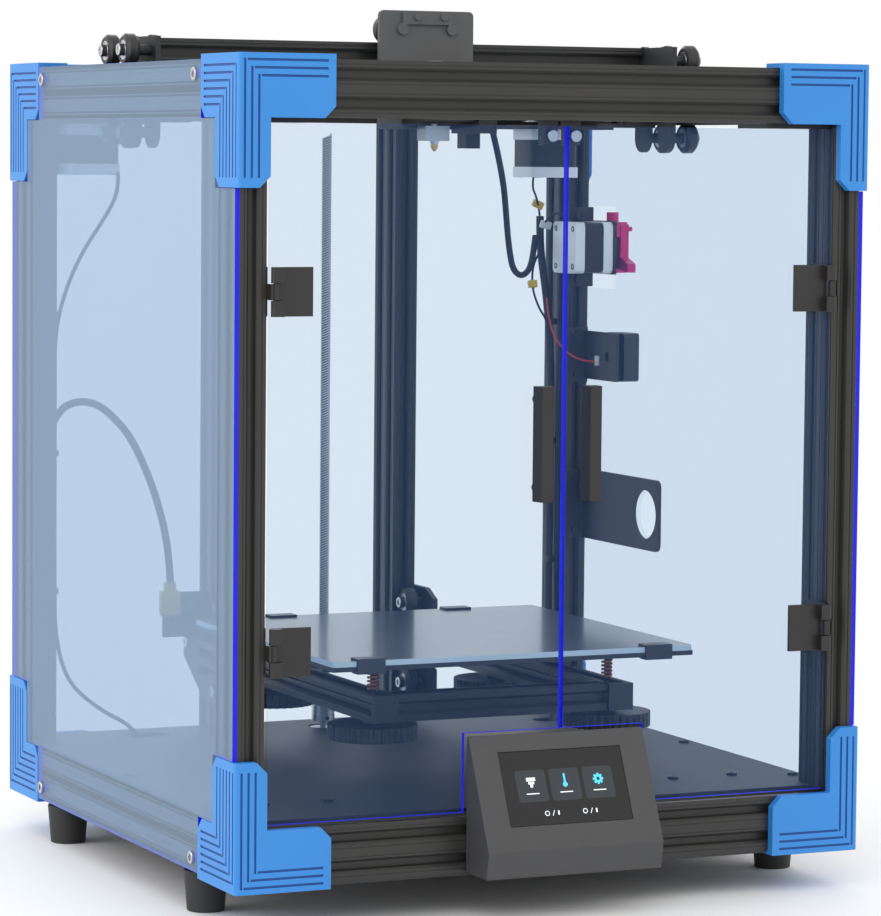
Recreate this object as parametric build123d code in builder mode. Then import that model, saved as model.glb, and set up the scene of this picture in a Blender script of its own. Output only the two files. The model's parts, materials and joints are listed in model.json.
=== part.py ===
from build123d import *
import math
import os

os.makedirs("parts", exist_ok=True)

# Overall frame. X runs right, Y runs back, Z runs up from the floor.
cap_half = 247.5            # outer faces of the corner caps
frame_half_x = 243.5        # outer side faces of the posts and side beams
frame_half_y = 240.5        # front and rear faces of the posts
bar = 20.0                  # module of the slotted bar
base_bottom = 31.5
base_top = base_bottom + 2 * bar
top_top = 603.5
top_bottom = top_top - 2 * bar
cap_bottom = 28.0
cap_top = 607.0
post_x = frame_half_x - bar / 2
post_y = frame_half_y - bar
inner_x = frame_half_x - bar
inner_y = frame_half_y - 2 * bar
beam_y = frame_half_y - bar / 2
beam_inner_y = frame_half_y - bar

# Sheets
panel_outer = 247.0
deck_top = base_top + 2.5
door_front = -240.0
door_back = -236.0
door_split = 5.5
plate_t = 3.5

# Running gear
wheel_r = 12.0
wheel_w = 10.2
wheel_rim = 5.9
wheel_off = 10.3            # wheel axis to the face it rolls on
axle_r = 2.5
spacer_r = 4.0
rail_x = 77.0
screw_y = 186.0
drive_x = 200.5
drive_y = 196.0
front_idler_y = -198.0
turn_x = 187.7
belt_r = 6.4
belt_t = 1.4
belt_w = 6.0
belt_low = 567.0
belt_high = 578.0
cross_y = 40.0              # the belts' line along the gantry

# Gantry, carriage and bed as they stand
gantry_wheels_y = (8.5, 47.5)
gantry_plate_in = 213.0
gantry_plate_out = 217.0
x_beam_y = 56.0
x_beam_z = 614.3
carriage_x = 17.0
carriage_front = 30.0
bed_arm_x = 95.5
bed_arm_z = 138.0
bed_screws_y = (-134.0, 61.0)
glass_top = 177.0
bed_half_x = 145.0
bed_front = -177.0
bed_rear = 98.0


def save(piece, label):
    piece.part.label = label
    export_step(piece.part, f"parts/{label}.step")


def block(x, y, z, mode=Mode.ADD):
    """A box from three (low, high) pairs."""
    with Locations(((x[0] + x[1]) / 2, (y[0] + y[1]) / 2, (z[0] + z[1]) / 2)):
        Box(x[1] - x[0], y[1] - y[0], z[1] - z[0], mode=mode)


def rod(start, direction, radius, length, mode=Mode.ADD):
    """A cylinder from its start point along one axis."""
    with BuildSketch(Plane(origin=start, z_dir=direction)) as disc:
        Circle(radius)
    extrude(disc.sketch, amount=length, mode=mode)


def slotted_face(columns, rows):
    """Section of the slotted bar, with one slot for every module on each side."""
    half_w = columns * bar / 2
    half_h = rows * bar / 2
    slot = [(-4.8, 0), (-2.9, -1.9), (-5.6, -1.9), (-5.6, -3.1), (-2.9, -6), (2.9, -6), (5.6, -3.1),
            (5.6, -1.9), (2.9, -1.9), (4.8, 0)]
    Rectangle(2 * half_w, 2 * half_h)
    places = []
    for column in range(columns):
        x = (column + 0.5) * bar - half_w
        places.append(Location((x, half_h, 0), (0, 0, 0)))
        places.append(Location((x, -half_h, 0), (0, 0, 180)))
    for row in range(rows):
        y = (row + 0.5) * bar - half_h
        places.append(Location((half_w, y, 0), (0, 0, -90)))
        places.append(Location((-half_w, y, 0), (0, 0, 90)))
    for place in places:
        with Locations(place):
            Polygon(*slot, align=None, mode=Mode.SUBTRACT)
            with Locations((-6.7, -0.25), (6.7, -0.25)):
                Rectangle(0.9, 0.5, mode=Mode.SUBTRACT)
    for column in range(columns):
        for row in range(rows):
            with Locations(((column + 0.5) * bar - half_w, (row + 0.5) * bar - half_h)):
                Circle(2.1, mode=Mode.SUBTRACT)


def slotted_bar(start, direction, across, columns, rows, length):
    with BuildSketch(Plane(origin=start, x_dir=across, z_dir=direction)) as section:
        slotted_face(columns, rows)
    extrude(section.sketch, amount=length)


def upright(x, y, z, columns, rows, length):
    slotted_bar((x, y, z), (0, 0, 1), (1, 0, 0), columns, rows, length)


def cross_bar(x, y, z, rows, length):
    slotted_bar((x, y, z), (1, 0, 0), (0, 1, 0), 1, rows, length)


def long_bar(x, y, z, rows, length):
    slotted_bar((x, y, z), (0, 1, 0), (1, 0, 0), 1, rows, length)


def mirrored(points):
    return [(-x, y) for x, y in points]


# ---- Frame ----------------------------------------------------------------
with BuildPart() as corner_posts:
    for side in (-1, 1):
        for end in (-1, 1):
            upright(side * post_x, end * post_y, base_bottom, 1, 2, top_top - base_bottom)
save(corner_posts, "corner_posts")

inlet_left = 110.0
with BuildPart() as frame_beams:
    for end in (-1, 1):
        cross_bar(-inner_x, end * beam_y, top_bottom + bar, 2, 2 * inner_x)
    cross_bar(-inner_x, -beam_y, base_bottom + bar, 2, 2 * inner_x)
    cross_bar(-inner_x, beam_y, base_bottom + bar, 2, inner_x + inlet_left)
    for side in (-1, 1):
        for z in (base_bottom + bar, top_bottom + bar):
            long_bar(side * post_x, -inner_y, z, 2, 2 * inner_y)
    for side in (-1, 1):
        upright(side * rail_x, post_y, base_top + 0.02, 1, 2, top_bottom - base_top - 0.04)
save(frame_beams, "frame_beams")

# Corner caps: a moulded shell of a front wall, a side wall and a top plate
arm_end = cap_half - 72
arm_h = 44.0
leg_h = 92.0
leg_front = 24.0
leg_side = 44.5
cap_chamfer = 8.0
groove_w = 1.4
groove_d = 0.9


def cap_outline(end, leg):
    """Arm and leg of one cap wall, with the outer corner at cap_half."""
    low = cap_top - arm_h
    foot = cap_top - leg_h
    return [(end, cap_top), (cap_half, cap_top), (cap_half, foot), (cap_half - leg + cap_chamfer, foot),
            (cap_half - leg, foot + cap_chamfer), (cap_half - leg, low), (end + cap_chamfer, low),
            (end, low + cap_chamfer)]


def cap_grooves(count, first, pitch, first_up, pitch_up, cut):
    for index in range(count):
        edge = cap_half - first_up - pitch_up * index
        level = cap_top - first - pitch * index
        cut((arm_end + 6, edge - 2), (level - groove_w / 2, level + groove_w / 2))
        cut((edge - groove_w / 2, edge + groove_w / 2), (cap_top - leg_h + 7, level + groove_w / 2))


def front_groove(x, z):
    block(x, (-cap_half, -cap_half + groove_d), z, Mode.SUBTRACT)


def side_groove(y, z):
    block((cap_half - groove_d, cap_half), (-y[1], -y[0]), z, Mode.SUBTRACT)


with BuildPart() as corner_cap:
    with BuildSketch(Plane.XZ.offset(cap_half)):
        Polygon(*cap_outline(arm_end, leg_front), align=None)
    extrude(amount=-(cap_half - frame_half_y))
    with BuildSketch(Plane.YZ.offset(cap_half)):
        Polygon(*mirrored(cap_outline(arm_end, leg_side)), align=None)
    extrude(amount=-(cap_half - frame_half_x))
    with BuildSketch(Plane.XY.offset(top_top)):
        Polygon((arm_end, -cap_half), (cap_half, -cap_half), (cap_half, -arm_end), (inner_x, -arm_end),
                (inner_x, -beam_inner_y), (arm_end, -beam_inner_y), align=None)
    extrude(amount=cap_top - top_top)
    fillet(corner_cap.edges().filter_by(Axis.Z).sort_by_distance((cap_half, -cap_half, 561))[0], 3)
    cap_grooves(3, 4.7, 5.4, 4.7, 5.2, front_groove)
    cap_grooves(6, 8, 5.4, 5, 6, side_groove)

with BuildPart() as corner_caps:
    add(corner_cap.part)
    mirror(about=Plane.YZ)
    mirror(about=Plane.XZ)
    mirror(about=Plane.XY.offset((cap_top + cap_bottom) / 2))
save(corner_caps, "corner_caps")

# ---- Side panels, deck and base -------------------------------------------
notch_gap = 0.4
spool_y = 86.0
spool_z = 248.4
spool_r = 20.0
extruder_y = 176.3
extruder_z = 463.0
sensor_y = 156.0
sensor_z = 373.0
panel_bolt_y = 165.0
panel_bolts_z = (base_bottom + 10, top_top - 10)


def panel_outline():
    arm = arm_end - notch_gap
    leg = cap_half - leg_side - notch_gap
    mid = (cap_top + cap_bottom) / 2
    arm_z = cap_top - arm_h - notch_gap
    leg_z = cap_top - leg_h - notch_gap
    quarter = [(arm, top_top), (arm, arm_z), (leg, arm_z), (leg, leg_z), (frame_half_y, leg_z)]
    upper = quarter + [(-y, z) for y, z in reversed(quarter)]
    lower = [(y, 2 * mid - z) for y, z in reversed(upper)]
    right = [point for point in upper if point[0] > 0]
    left = [point for point in upper if point[0] < 0]
    low_right = [point for point in lower if point[0] > 0]
    low_left = [point for point in lower if point[0] < 0]
    return right + low_right + low_left + left


def side_panel(side):
    start = frame_half_x if side > 0 else -panel_outer
    with BuildSketch(Plane.YZ.offset(start)) as sheet:
        Polygon(*panel_outline(), align=None)
        for z in panel_bolts_z:
            with Locations((-panel_bolt_y, z), (panel_bolt_y, z)):
                Circle(2.7, mode=Mode.SUBTRACT)
        if side > 0:
            with Locations((spool_y, spool_z)):
                Circle(spool_r, mode=Mode.SUBTRACT)
            with Locations((extruder_y + 0.2, extruder_z)):
                Rectangle(50, 68, mode=Mode.SUBTRACT)
            with Locations((sensor_y, sensor_z)):
                Circle(4, mode=Mode.SUBTRACT)
    extrude(sheet.sketch, amount=panel_outer - frame_half_x)


with BuildPart() as side_panels:
    side_panel(-1)
    side_panel(1)
save(side_panels, "side_panels")

sheet_gap = 0.3
cover_low = base_bottom - 2
with BuildPart() as base_plates:
    with BuildSketch(Plane.XY.offset(base_top)):
        Rectangle(2 * (frame_half_x - sheet_gap), 2 * (beam_inner_y - sheet_gap))
        for side in (-1, 1):
            for end in (-1, 1):
                with Locations((side * post_x, end * post_y)):
                    Rectangle(bar + 2 * sheet_gap, 2 * bar + 2 * sheet_gap, mode=Mode.SUBTRACT)
            with Locations((side * rail_x, post_y)):
                Rectangle(bar + 2 * sheet_gap, 2 * bar + 2 * sheet_gap, mode=Mode.SUBTRACT)
        with Locations((0, screw_y)):
            Circle(12, mode=Mode.SUBTRACT)
        with Locations((191, 152), (-150, 190)):
            SlotOverall(34, 20, mode=Mode.SUBTRACT)
    extrude(amount=deck_top - base_top)
    with BuildSketch(Plane.XY.offset(cover_low)):
        Rectangle(2 * frame_half_x, 2 * (arm_end - 1))
        Rectangle(2 * (arm_end - 1), 2 * frame_half_y)
        Rectangle(2 * (inner_x - 1), 2 * (beam_inner_y - 1))
        with Locations((-90, 10), (115, 10)):
            with GridLocations(14, 50, 9, 2):
                SlotOverall(38, 5, rotation=90, mode=Mode.SUBTRACT)
    extrude(amount=base_bottom - cover_low)
save(base_plates, "base_plates")

foot_places = [(side * 231, end * 149.5) for side in (-1, 1) for end in (-1, 1)]
with BuildPart() as rubber_feet:
    with Locations(*[(x, y, cover_low / 2) for x, y in foot_places]):
        Cone(13.5, 16, cover_low)
        with Locations((0, 0, 3 - cover_low / 2)):
            Cylinder(5, 6, mode=Mode.SUBTRACT)
save(rubber_feet, "rubber_feet")

# ---- Display ---------------------------------------------------------------
display_half = 69.0
display_toe = Vector(0, -279, 51)       # lower edge of the sloping face
display_brow = Vector(0, -243, 128.5)   # upper edge of the sloping face
display_wall = 2.5
screen_rise = 45.5                      # centre of the screen, up the slope
screen_w = 97.0
screen_h = 55.0
slope = (display_brow - display_toe).normalized()
screen_plane = Plane(origin=display_toe + slope * screen_rise, x_dir=(1, 0, 0),
                     z_dir=(0, -slope.Z, slope.Y))

with BuildPart() as display_housing:
    with BuildSketch(Plane.YZ.offset(-display_half)):
        Polygon((-frame_half_y, base_bottom), (-276, base_bottom), (display_toe.Y, display_toe.Z),
                (display_brow.Y, display_brow.Z), (-frame_half_y, display_brow.Z), align=None)
    extrude(amount=2 * display_half)
    fillet(display_housing.edges().filter_by(Axis.X).group_by(Axis.Y)[0], 2)
    with BuildSketch(Plane.YZ.offset(-display_half + display_wall)):
        Polygon((-frame_half_y - 2, base_bottom + 2.5), (-273.5, base_bottom + 2.5), (-276, 51.5),
                (-245.5, 117), (-frame_half_y - 2, 117), align=None)
    extrude(amount=2 * (display_half - display_wall), mode=Mode.SUBTRACT)
    with BuildSketch(screen_plane):
        Rectangle(screen_w, screen_h)
    extrude(amount=-5, both=True, mode=Mode.SUBTRACT)
save(display_housing, "display_housing")

with BuildPart() as touch_screen:
    with BuildSketch(screen_plane.offset(-2.6)):
        Rectangle(screen_w - 0.4, screen_h - 0.4)
    extrude(amount=2)
    with BuildSketch(screen_plane.offset(-5)):
        Rectangle(86, 46)
    extrude(amount=1.6)
save(touch_screen, "touch_screen")

# ---- Doors -----------------------------------------------------------------
door_edge = inner_x - 2.7
door_low = 74.2
door_high = 559.5
notch_half = 70.8
notch_top = 130.7
hinge_x = inner_x - 4.3
hinge_y = -246.0
hinge_levels = (194.8, 444.0)
hinge_h = 34.0
knuckle_r = 3.0
pin_r = 1.25
handle_from_split = 19.0
handle_low = 294.0
handle_high = 376.0
handle_bolts = (303.5, 366.5)


def door_panel(side):
    """One door leaf, cut out around the display."""
    near = door_split + side
    outline = [(side * door_edge, door_low), (side * notch_half, door_low), (side * notch_half, notch_top),
               (near, notch_top), (near, door_high), (side * door_edge, door_high)]
    with BuildSketch(Plane.XZ.offset(-door_front)) as leaf:
        Polygon(*outline, align=None)
        with Locations(*[(door_split + side * handle_from_split, z) for z in handle_bolts]):
            Circle(2.1, mode=Mode.SUBTRACT)
    extrude(leaf.sketch, amount=door_front - door_back)


def door_fittings(side):
    """Door halves of the hinges, the bar handle and its bolts."""
    middle = door_split + side * handle_from_split
    with BuildSketch(Plane.XY.offset(handle_low)) as handle:
        Polygon((middle - 6, door_front), (middle + 6, door_front), (middle + 4.5, door_front - 12),
                (middle - 4.5, door_front - 12), align=None)
    extrude(handle.sketch, amount=handle_high - handle_low)
    for z in handle_bolts:
        rod((middle, door_front, z), (0, 1, 0), 2, 6.5)
        rod((middle, door_back, z), (0, 1, 0), 3.5, 3)
    wide = sorted((side * (hinge_x - 3.2), side * (hinge_x - 29.5)))
    arm = sorted((side * (hinge_x - 6), side * hinge_x))
    for level in hinge_levels:
        block(wide, (door_front - 2.5, door_front), (level - hinge_h / 2, level + hinge_h / 2))
        for low in (-hinge_h / 2, 6):
            band = (level + low, level + low + hinge_h / 2 - 6)
            block(arm, (hinge_y - knuckle_r, door_front), band)
            rod((side * hinge_x, hinge_y, band[0]), (0, 0, 1), knuckle_r, band[1] - band[0])
        rod((side * hinge_x, hinge_y, level - 18), (0, 0, 1), pin_r + 0.05, 36, Mode.SUBTRACT)


with BuildPart() as left_door_panel:
    door_panel(-1)
save(left_door_panel, "left_door_panel")

with BuildPart() as right_door_panel:
    door_panel(1)
save(right_door_panel, "right_door_panel")

with BuildPart() as left_door_fittings:
    door_fittings(-1)
save(left_door_fittings, "left_door_fittings")

with BuildPart() as right_door_fittings:
    door_fittings(1)
save(right_door_fittings, "right_door_fittings")

catch_gap = 9.1
catch_z = 552.7
with BuildPart() as hinge_mounts:
    for side in (-1, 1):
        flat = sorted((side * (inner_x - 1.8), side * inner_x))
        for level in hinge_levels:
            block(flat, (-238, -212), (level - hinge_h / 2, level + hinge_h / 2))
            block(flat, (hinge_y - knuckle_r, -238), (level - 5.5, level + 5.5))
            rod((side * hinge_x, hinge_y, level - 5.5), (0, 0, 1), knuckle_r, 11)
            rod((side * hinge_x, hinge_y, level - hinge_h / 2), (0, 0, 1), pin_r, hinge_h)
        catch_x = door_split + side * catch_gap
        rod((catch_x, -235.2, catch_z), (0, 1, 0), 4.3, 6)
        block((catch_x - 5, catch_x + 5), (-232, -beam_inner_y), (546, top_bottom))
save(hinge_mounts, "hinge_mounts")

# ---- Motors, idlers, belts and lead screw ----------------------------------
motor_half = 21.15
motor_hole = 31.0
bracket_low = top_bottom - plate_t
level_low = belt_low - 1
level_high = belt_high - 1


def motor(start, direction, length, shaft):
    """A square stepper motor with a round boss and shaft on its front face."""
    face = Plane(origin=start, z_dir=direction)
    with BuildSketch(face) as body:
        RectangleRounded(2 * motor_half, 2 * motor_half, 4)
    extrude(body.sketch, amount=-length)
    with BuildSketch(face) as holes:
        with GridLocations(motor_hole, motor_hole, 2, 2):
            Circle(1.5)
    extrude(holes.sketch, amount=-5, mode=Mode.SUBTRACT)
    rod(start, direction, 11, 2)
    rod(start, direction, 2.5, shaft)


motor_plate_x = 243.7
with BuildPart() as stepper_motors:
    for side in (-1, 1):
        motor((side * drive_x, drive_y, bracket_low), (0, 0, 1), 39.5, 28)
    motor((0, screw_y, base_top - 0.2), (0, 0, 1), 38, 17)
    motor((motor_plate_x, extruder_y, extruder_z), (1, 0, 0), 34.5, 14.5)
save(stepper_motors, "stepper_motors")


def idler(x, y, z):
    """A flanged belt idler, loose on its axle."""
    rod((x, y, z), (0, 0, 1), belt_r - belt_t / 2 - 0.05, belt_w + 2)
    rod((x, y, z), (0, 0, 1), 8.2, 0.9)
    rod((x, y, z + belt_w + 1.1), (0, 0, 1), 8.2, 0.9)
    rod((x, y, z), (0, 0, 1), axle_r + 0.05, belt_w + 2, Mode.SUBTRACT)


with BuildPart() as drive_brackets:
    for side in (-1, 1):
        rear = [(166, 156), (frame_half_x - 0.2, 156), (frame_half_x - 0.2, inner_y - 0.3),
                (inner_x - 0.3, inner_y - 0.3), (inner_x - 0.3, 239), (166, 239)]
        front = [(176, -232), (inner_x - 0.3, -232), (inner_x - 0.3, -inner_y + 0.3),
                 (frame_half_x - 0.2, -inner_y + 0.3), (frame_half_x - 0.2, -178), (176, -178)]
        with BuildSketch(Plane.XY.offset(bracket_low)):
            for outline in (rear, front):
                Polygon(*[(side * x, y) for x, y in outline], align=None)
            with Locations((side * drive_x, drive_y)):
                Circle(11.3, mode=Mode.SUBTRACT)
                with GridLocations(motor_hole, motor_hole, 2, 2):
                    Circle(1.6, mode=Mode.SUBTRACT)
        extrude(amount=plate_t)
        rod((side * turn_x, drive_y, top_bottom), (0, 0, 1), axle_r, 24.5)
        rod((side * drive_x, front_idler_y, top_bottom), (0, 0, 1), axle_r, 24.5)
        rod((side * drive_x, front_idler_y, level_high + 9 if side > 0 else level_low + 9),
            (0, 0, 1), 4, 2)
save(drive_brackets, "drive_brackets")

with BuildPart() as belt_idlers:
    idler(-drive_x, front_idler_y, level_low)
    idler(drive_x, front_idler_y, level_high)
    idler(turn_x, drive_y, level_low)
    idler(-turn_x, drive_y, level_high)
save(belt_idlers, "belt_idlers")

for label, side, level in (("left_drive_pulley", -1, belt_low), ("right_drive_pulley", 1, belt_high)):
    with BuildPart() as drive_pulley:
        rod((side * drive_x, drive_y, level - 1.5), (0, 0, 1), 8, 1)
        rod((side * drive_x, drive_y, level + belt_w + 0.5), (0, 0, 1), 8, 1)
        rod((side * drive_x, drive_y, level - 1.5), (0, 0, 1), belt_r - belt_t / 2 - 0.3, belt_w + 3)
        with BuildSketch(Plane.XY.offset(level - 0.4)):
            with Locations((side * drive_x, drive_y)):
                with PolarLocations(belt_r - belt_t / 2 - 0.3, 20):
                    Circle(0.45)
        extrude(amount=belt_w + 0.8, mode=Mode.SUBTRACT)
        rod((side * drive_x, drive_y, level - 2), (0, 0, 1), 2.55, belt_w + 4, Mode.SUBTRACT)
    save(drive_pulley, label)


def fixed_belt(side, level):
    """The stretch of one belt whose shape never changes, for the motor on one side."""
    with BuildSketch(Plane.XY.offset(level)) as strip:
        with BuildLine(Plane.XY.offset(level)) as path:
            outer = side * (drive_x + belt_r)
            CenterArc((side * drive_x, front_idler_y), belt_r, 180, 180)
            Line((outer, front_idler_y), (outer, drive_y))
            CenterArc((side * drive_x, drive_y), belt_r, 90 if side < 0 else 0, 90)
            Line((side * drive_x, drive_y + belt_r), (-side * turn_x, drive_y + belt_r))
            CenterArc((-side * turn_x, drive_y), belt_r, 0 if side < 0 else 90, 90)
        trace(path.line, line_width=belt_t)
    extrude(strip.sketch, amount=belt_w)


with BuildPart() as fixed_belts:
    fixed_belt(-1, belt_low)
    fixed_belt(1, belt_high)
save(fixed_belts, "fixed_belts")


def gantry_belt(side, level):
    """From the front idler to the gantry, across it, and back to the rear idler."""
    run = side * (drive_x - belt_r)
    with BuildSketch(Plane.XY.offset(level)) as strip:
        with BuildLine(Plane.XY.offset(level)) as path:
            Line((run, front_idler_y), (run, cross_y - belt_r))
            CenterArc((side * turn_x, cross_y - belt_r), belt_r, 90 if side < 0 else 0, 90)
            Line((side * turn_x, cross_y), (-side * turn_x, cross_y))
            CenterArc((-side * turn_x, cross_y + belt_r), belt_r, 270 if side < 0 else 180, 90)
            Line((-run, cross_y + belt_r), (-run, drive_y))
        trace(path.line, line_width=belt_t)
    extrude(strip.sketch, amount=belt_w)


with BuildPart() as gantry_belts:
    gantry_belt(-1, belt_low)
    gantry_belt(1, belt_high)
save(gantry_belts, "gantry_belts")

screw_low = 81.0
screw_high = 561.6
with BuildPart() as lead_screw:
    rod((0, screw_y, 78), (0, 0, 1), 9.5, 23)
    rod((0, screw_y, screw_low), (0, 0, 1), 4, screw_high - screw_low)
    rod((0, screw_y, 77), (0, 0, 1), 2.55, 13, Mode.SUBTRACT)
save(lead_screw, "lead_screw")

# ---- Gantry ----------------------------------------------------------------
wheel_low_z = top_bottom - wheel_off
wheel_high_z = top_top + wheel_off


def wheel_section():
    """Half section of a V wheel: x is the radius, y runs along the axis."""
    half = wheel_w / 2
    rim = wheel_rim / 2
    return [(axle_r + 0.05, -half), (4.2, -half), (4.2, -half + 0.8), (7.6, -half + 0.8), (8.2, -half),
            (wheel_r - half + rim, -half), (wheel_r, -rim), (wheel_r, rim), (wheel_r - half + rim, half),
            (8.2, half), (7.6, half - 0.8), (4.2, half - 0.8), (4.2, half), (axle_r + 0.05, half)]


def wheel_across(x, y, z):
    """A wheel that turns about an axis along X."""
    with BuildSketch(Plane(origin=(x, y, z), x_dir=(0, 1, 0), z_dir=(0, 0, 1))) as half:
        Polygon(*[(radius, -along) for radius, along in wheel_section()], align=None)
    revolve(half.sketch, Axis((x, y, z), (1, 0, 0)), 360)


def wheel_along(x, y, z):
    """A wheel that turns about an axis along Y."""
    with BuildSketch(Plane(origin=(x, y, z), x_dir=(1, 0, 0), z_dir=(0, 0, 1))) as half:
        Polygon(*wheel_section(), align=None)
    revolve(half.sketch, Axis((x, y, z), (0, 1, 0)), 360)


def axle_across(x, start, y, z, side):
    """Wheel bolt along X from a plate, with its spacer and its head."""
    away = (side, 0, 0)
    inner = x - wheel_w / 2 - 0.3
    rod((side * start, y, z), away, spacer_r, inner - start)
    rod((side * start, y, z), away, axle_r, x + 8 - start)
    rod((side * (x + wheel_w / 2 + 0.3), y, z), away, 4.5, 2.9)


for label, y, z in (("upper_front_wheels", gantry_wheels_y[0], wheel_high_z),
                    ("upper_rear_wheels", gantry_wheels_y[1], wheel_high_z),
                    ("lower_front_wheels", gantry_wheels_y[0], wheel_low_z),
                    ("lower_rear_wheels", gantry_wheels_y[1], wheel_low_z)):
    with BuildPart() as wheel_pair:
        for side in (-1, 1):
            wheel_across(side * post_x, y, z)
    save(wheel_pair, label)

gantry_front = -3.5
gantry_back = 68.0
lobe_r = 11.5
with BuildPart() as gantry_plates:
    for side in (-1, 1):
        start = gantry_plate_in if side > 0 else -gantry_plate_out
        with BuildSketch(Plane.YZ.offset(start)):
            with Locations(((gantry_front + gantry_back) / 2, (576 + 624.3) / 2)):
                Rectangle(gantry_back - gantry_front, 624.3 - 576)
            for y in gantry_wheels_y:
                with Locations((y, wheel_low_z), (y, wheel_high_z)):
                    Circle(lobe_r)
                with Locations((y, (wheel_low_z + 576) / 2)):
                    Rectangle(2 * lobe_r, 576 - wheel_low_z + 1)
        extrude(amount=gantry_plate_out - gantry_plate_in)
        for y in gantry_wheels_y:
            for z in (wheel_low_z, wheel_high_z):
                axle_across(post_x, gantry_plate_out, y, z, side)
        shelf = sorted((side * 178, side * gantry_plate_in))
        for low in (561, 588):
            block(shelf, (24, 56), (low, low + 3))
        for y in (cross_y - belt_r, cross_y + belt_r):
            rod((side * turn_x, y, 561), (0, 0, 1), axle_r, 30)
save(gantry_plates, "gantry_plates")

with BuildPart() as gantry_idlers:
    idler(-turn_x, cross_y - belt_r, level_low)
    idler(turn_x, cross_y + belt_r, level_low)
    idler(turn_x, cross_y - belt_r, level_high)
    idler(-turn_x, cross_y + belt_r, level_high)
save(gantry_idlers, "gantry_idlers")

with BuildPart() as x_beam:
    cross_bar(-gantry_plate_in, x_beam_y, x_beam_z, 1, 2 * gantry_plate_in)
save(x_beam, "x_beam")

# ---- Carriage and hot end --------------------------------------------------
carriage_w = 79.0
carriage_low = 558.0
carriage_top = 648.6
top_wheel_gap = 41.5
carriage_wheels = ((carriage_x - top_wheel_gap / 2, x_beam_z + bar / 2 + wheel_off),
                   (carriage_x + top_wheel_gap / 2, x_beam_z + bar / 2 + wheel_off),
                   (carriage_x, x_beam_z - bar / 2 - wheel_off))

with BuildPart() as carriage_plate:
    with BuildSketch(Plane.XZ.offset(-carriage_front)):
        with Locations((carriage_x, (carriage_low + carriage_top) / 2)):
            RectangleRounded(carriage_w, carriage_top - carriage_low, 4)
    extrude(amount=-4)
    for x, z in carriage_wheels:
        rod((x, carriage_front, z), (0, -1, 0), 4.5, 2.8)
        rod((x, carriage_front, z), (0, 1, 0), spacer_r, 20.6)
        rod((x, carriage_front, z), (0, 1, 0), axle_r, 35.5)
        rod((x, x_beam_y + wheel_w / 2 + 0.3, z), (0, 1, 0), 4, 3.6)
    block((carriage_x - 21, carriage_x + 21), (27.4, carriage_front), (638, 647.6))
    for x in (carriage_x - 9, carriage_x + 13):
        rod((x, 27.4, 644), (0, -1, 0), 2.8, 2)
    for low in (belt_low, belt_high):
        block((carriage_x - 10, carriage_x + 10), (34, cross_y - belt_t / 2), (low, low + belt_w))
save(carriage_plate, "carriage_plate")

for index, label in enumerate(("carriage_left_wheel", "carriage_right_wheel", "carriage_lower_wheel")):
    with BuildPart() as carriage_wheel:
        wheel_along(carriage_wheels[index][0], x_beam_y, carriage_wheels[index][1])
    save(carriage_wheel, label)

nozzle_y = 14.0
nozzle_tip = 541.0
with BuildPart() as hot_end:
    block((carriage_x - 15, carriage_x + 15), (nozzle_y - 8, carriage_front), (590, 602))
    rod((carriage_x, nozzle_y, 560), (0, 0, 1), 3, 40)
    for index in range(8):
        rod((carriage_x, nozzle_y, 566 + 3 * index), (0, 0, 1), 11, 1.4)
    block((carriage_x - 10, carriage_x + 10), (nozzle_y - 6, nozzle_y + 10), (549, 560.5))
    with Locations((carriage_x, nozzle_y, nozzle_tip + 4)):
        Cone(0.6, 4, 8)
    rod((carriage_x, nozzle_y, 602), (0, 0, 1), 5, 8)
    rod((carriage_x, nozzle_y, 600), (0, 0, 1), 2.1, 12, Mode.SUBTRACT)
    rod((carriage_x, 26.5, carriage_wheels[2][1]), (0, 1, 0), 4.8, 4, Mode.SUBTRACT)
save(hot_end, "hot_end")

fan_front = -16.0
with BuildPart() as hot_end_fans:
    block((carriage_x - 20, carriage_x + 20), (fan_front, fan_front + 10), (564, 604))
    with BuildSketch(Plane.XZ.offset(-fan_front)):
        with Locations((carriage_x, 584)):
            Circle(18)
            Circle(8, mode=Mode.SUBTRACT)
            with PolarLocations(13, 7):
                Rectangle(10, 2.2, rotation=30, mode=Mode.SUBTRACT)
    extrude(amount=-10, mode=Mode.SUBTRACT)
    block((carriage_x - 20, carriage_x + 20), (-5.9, 29.9), (562, 563.2))
    for x in (carriage_x - 20, carriage_x + 18.8):
        block((x, x + 1.2), (-6, 29.9), (562, 606))
    block((carriage_x - 20, carriage_x + 20), (-6, -4.8), (562, 606))
    with Locations((carriage_x, nozzle_y, 562)):
        Cylinder(5, 6, mode=Mode.SUBTRACT)
    rod((carriage_x, -7, 584), (0, 1, 0), 17, 3, Mode.SUBTRACT)
    block((carriage_x + 21.5, carriage_x + 36.5), (-21, 29.9), (555, 605))
    rod((carriage_x + 36.5, 4.5, 580), (-1, 0, 0), 16, 10, Mode.SUBTRACT)
    rod((carriage_x + 36.5, 4.5, 580), (-1, 0, 0), 9, 12)
    block((carriage_x + 23, carriage_x + 35), (6, 22), (543.5, 555))
save(hot_end_fans, "hot_end_fans")

# ---- Bed -------------------------------------------------------------------
bed_plate_z = glass_top - 4
arm_low = bed_arm_z - bar / 2
arm_high = bed_arm_z + bar / 2
arm_front = -155.0
arm_rear = 192.0
side_plate_x = 88.5
side_plate_t = 4.0
bed_wheel_y = (frame_half_y - 2 * bar - wheel_off, frame_half_y + wheel_off)
bed_wheels = {"bed_upper_wheels": (bed_wheel_y[0], 172.0), "bed_lower_wheels": (bed_wheel_y[0], 106.0),
              "bed_rear_wheels": (bed_wheel_y[1], 139.0)}
gap = 0.02

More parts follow.
